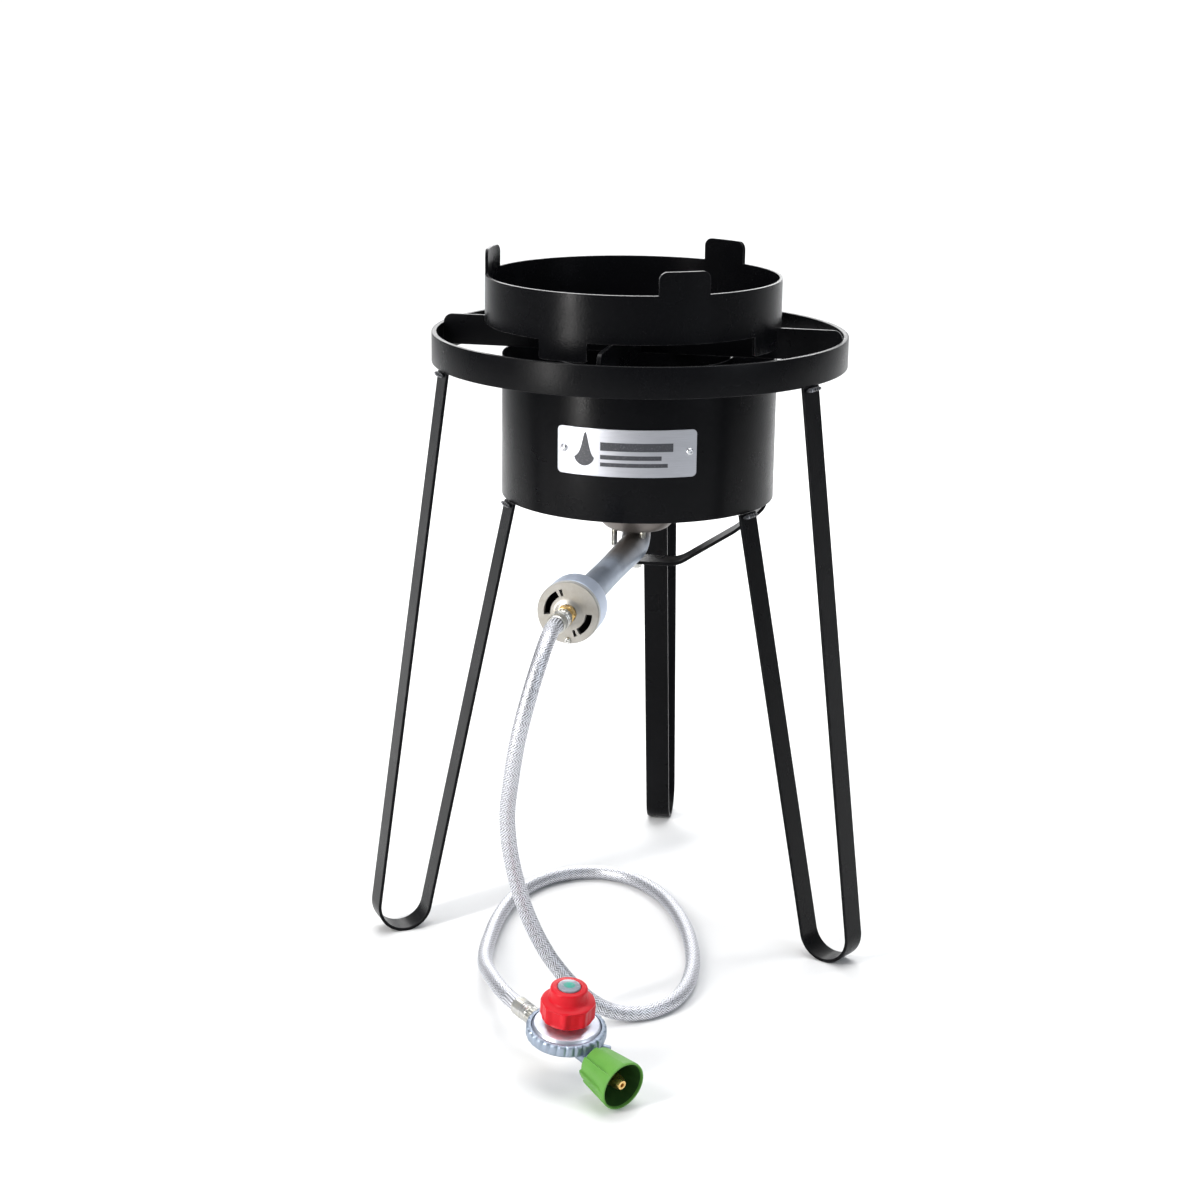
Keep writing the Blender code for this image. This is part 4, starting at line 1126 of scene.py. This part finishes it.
# ---- ferrules, regulator and cylinder nut
BODY = mm((0.0, -19.5), (10.0, -19.5), (12.5, -18.5), (15.0, -16.0), (19.5, -12.5), (24.0, -9.8),
          (29.0, -7.0), (31.0, -5.0), (31.0, -3.0), (0.0, -3.0))


def on_hose(node, bm, material, place, body="stand", sharp=38.0):
    """Add a piece of the fittings at an end of the hose."""
    obj = fine(node, bm, material, place, body, sharp=sharp)
    return obj


def make_ferrules():
    profile = mm((0.0, 0.0), (7.6, 0.0), (8.6, 1.0), (8.6, 6.6), (8.1, 7.4), (8.1, 9.4), (8.5, 9.8),
                 (8.1, 10.2), (8.1, 13.2), (8.5, 13.6), (8.1, 14.0), (8.1, 15.6), (8.6, 16.4), (8.6, 25.8))
    profile += [(0.0079, FERRULE_LENGTH), (0.0, FERRULE_LENGTH)]

    def crimped(angle, r, z):
        if r < 0.0076 or z > 0.008:
            return r
        return r - 0.00045 * (0.5 - 0.5 * math.cos(16.0 * angle))

    ends = (("burner", FACE, JET_NOSE + GAP), ("regulator", OUT_PORT, OUTLET_LENGTH + GAP))
    for side, place, at in ends:
        ferrule = spin(profile, 96, False, crimped)
        on_hose("hose_ferrule_" + side, ferrule, ZINC, place @ lift(at), sharp=30.0)


def make_regulator():
    on_hose("regulator_body", spin(soften(BODY, 0.0006), 96), DIECAST, SEAT)
    crimp = mm((31.4, -5.8), (33.8, -5.6), (34.7, -4.8), (35.2, -3.0), (35.2, 3.0), (34.9, 4.0),
               (34.2, 4.8), (32.0, 5.3), (30.9, 5.2), (30.9, 2.7), (31.4, 2.5))

    def crimped(angle, r, z):
        if r < 0.0325:
            return r
        notch = max(0.0, math.cos(28.0 * angle)) ** 2
        return r - 0.0016 * notch * min(max((z + 0.0058) / 0.004, 0.0), 1.0)

    on_hose("regulator_crimp_ring", spin(crimp, 28 * 8, True, crimped), DIECAST, SEAT, sharp=60.0)
    cover = mm((8.0, 1.0), (9.0, 1.0), (28.0, -1.0), (30.4, -1.0), (30.4, 4.0), (30.0, 5.0), (28.9, 6.0),
               (28.7, 6.8), (28.4, 7.3), (27.0, 7.8), (15.0, 9.6), (13.0, 10.6), (11.8, 12.0),
               (11.5, 13.6), (11.2, 14.0), (8.0, 14.0))
    on_hose("regulator_cover", spin(cover, 96, True), LABEL, SEAT)
    knob = mm((0.0, 14.3), (22.4, 14.3), (23.4, 14.7), (24.0, 15.8), (24.1, 28.2), (23.9, 29.5),
              (23.3, 30.5), (22.4, 31.1), (18.4, 32.1), (17.4, 32.5), (16.9, 33.0), (16.6, 34.0),
              (16.3, 42.4), (15.9, 43.6), (15.0, 44.2), (11.0, 44.2), (10.5, 43.8), (10.4, 43.0),
              (0.0, 43.0))
    knob_ribs = ribs(8, 0.0025, 0.0143, 0.03, 5.0)
    knob = spin(fill_out(knob, 0.0012), 192, False, knob_ribs)
    on_hose("regulator_knob", knob, RED, SEAT, "pressure_knob")
    dial = mm((0.0, 43.3), (9.8, 43.3), (10.0, 43.8), (10.0, 44.7), (9.5, 45.4), (8.0, 45.7), (0.0, 45.8))
    on_hose("knob_indicator", spin(dial, 64), DIAL, SEAT, "pressure_knob")
    vent = mm((0.0, 24.0), (2.8, 24.0), (2.8, 39.8), (2.2, 40.7), (1.2, 40.8), (1.0, 38.0), (0.0, 38.0))
    turned = turn(35.0) @ turn(90.0, "Y")
    on_hose("regulator_vent", spin(vent, 36), DIECAST,
            SEAT @ lift(-0.0095) @ turned)


def make_ports():
    neck = mm((0.0, 15.0), (5.8, 15.0), (5.8, 35.8), (8.8, 36.1), (9.8, 36.8), (9.8, 41.0))
    neck += [(0.009, OUTLET_LENGTH), (0.0, OUTLET_LENGTH)]
    on_hose("outlet_neck", spin(neck, 72, False, hexagon(0.0075, 0.0192)), BRASS, OUT_PORT)
    boss = mm((0.0, 15.0), (6.0, 15.0), (6.0, 35.2), (6.6, 35.8), (9.8, 36.1), (10.5, 36.8), (10.5, 39.6),
              (10.1, 40.0), (0.0, 40.0))
    on_hose("inlet_neck", spin(boss, 64), DIECAST, IN_PORT)
    stem = mm((0.0, 40.3), (5.8, 40.3), (5.8, 47.7), (8.6, 48.1), (9.0, 48.6), (9.0, 56.8), (8.6, 57.4),
              (7.4, 59.2), (7.0, 61.2), (6.6, 61.6), (6.6, 62.8), (7.1, 63.4), (6.9, 65.2), (6.2, 65.8),
              (6.0, 67.2), (6.4, 68.0), (5.6, 75.2), (4.0, 78.2), (2.0, 78.4), (1.8, 78.0), (1.8, 73.2),
              (0.0, 73.2))
    on_hose("inlet_stem", spin(stem, 64), BRASS, IN_PORT, sharp=28.0)
    nut_outside = mm((15.8, 40.6), (16.8, 40.8), (17.5, 41.6), (18.0, 43.2), (18.6, 48.0), (20.0, 59.0),
                     (21.3, 70.0), (22.0, 75.5), (22.2, 78.5), (22.1, 79.6), (21.7, 80.2), (21.2, 80.4))
    nut_inside = mm((20.8, 80.4), (20.5, 80.1), (20.3, 79.4), (20.1, 78.0), (19.0, 72.0), (17.0, 62.0),
                    (15.2, 53.0), (14.6, 51.0), (14.6, 45.5), (14.4, 44.3), (6.4, 44.2))
    nut = [(0.0064, 0.0406)] + nut_outside + nut_inside

    step_rule = steps_round(8, 0.0021, 0.07, 0.079)

    def wall_middle(z):
        """Radius between the inner and the outer surface of the nut's wall."""
        return 0.0152 + (z - 0.0406) * 0.142

    def outside_only(angle, r, z):
        return step_rule(angle, r, z) if r > wall_middle(z) else r

    made = on_hose("cylinder_nut", spin(nut, 160, True, outside_only), GREEN, IN_PORT, "cylinder_nut", 32.0)
    made.data.materials.append(GREEN_PAINTED_SHADE)
    # inward faces of the nut take the dark green, a painted shade
    for face in made.data.polygons:
        outward = face.normal.x * face.center.x + face.normal.y * face.center.y
        if outward < 0.0 and face.center.z < 0.0785:
            face.material_index = 1


def fill_out(profile, step):
    """Add points to the long parts of a profile, so that a radius rule can shape them."""
    out = [profile[0]]
    for (r0, z0), (r1, z1) in zip(profile, profile[1:]):
        count = max(1, math.ceil(abs(z1 - z0) / step))
        out += [(r0 + (r1 - r0) * k / count, z0 + (z1 - z0) * k / count) for k in range(1, count + 1)]
    return out


def dress_hidden_nodes():
    """Give the CAD meshes inside the regulator their materials."""
    for node, material in (("regulator_diaphragm", RUBBER), ("regulator_spring", STEEL),
                           ("regulator_spring_seat", ZINC)):
        mesh = frame["nodes"][node].data
        mesh.materials.clear()
        mesh.materials.append(material)


make_camera()
make_floor()
make_light()
make_ferrules()
make_regulator()
make_ports()
dress_hidden_nodes()
make_mixer()
make_hose()
make_rings()
make_bars()
make_legs()
make_wok_ring()
make_nameplate()
make_plate_screws()
make_plate_motif()
make_burner()
make_strap()
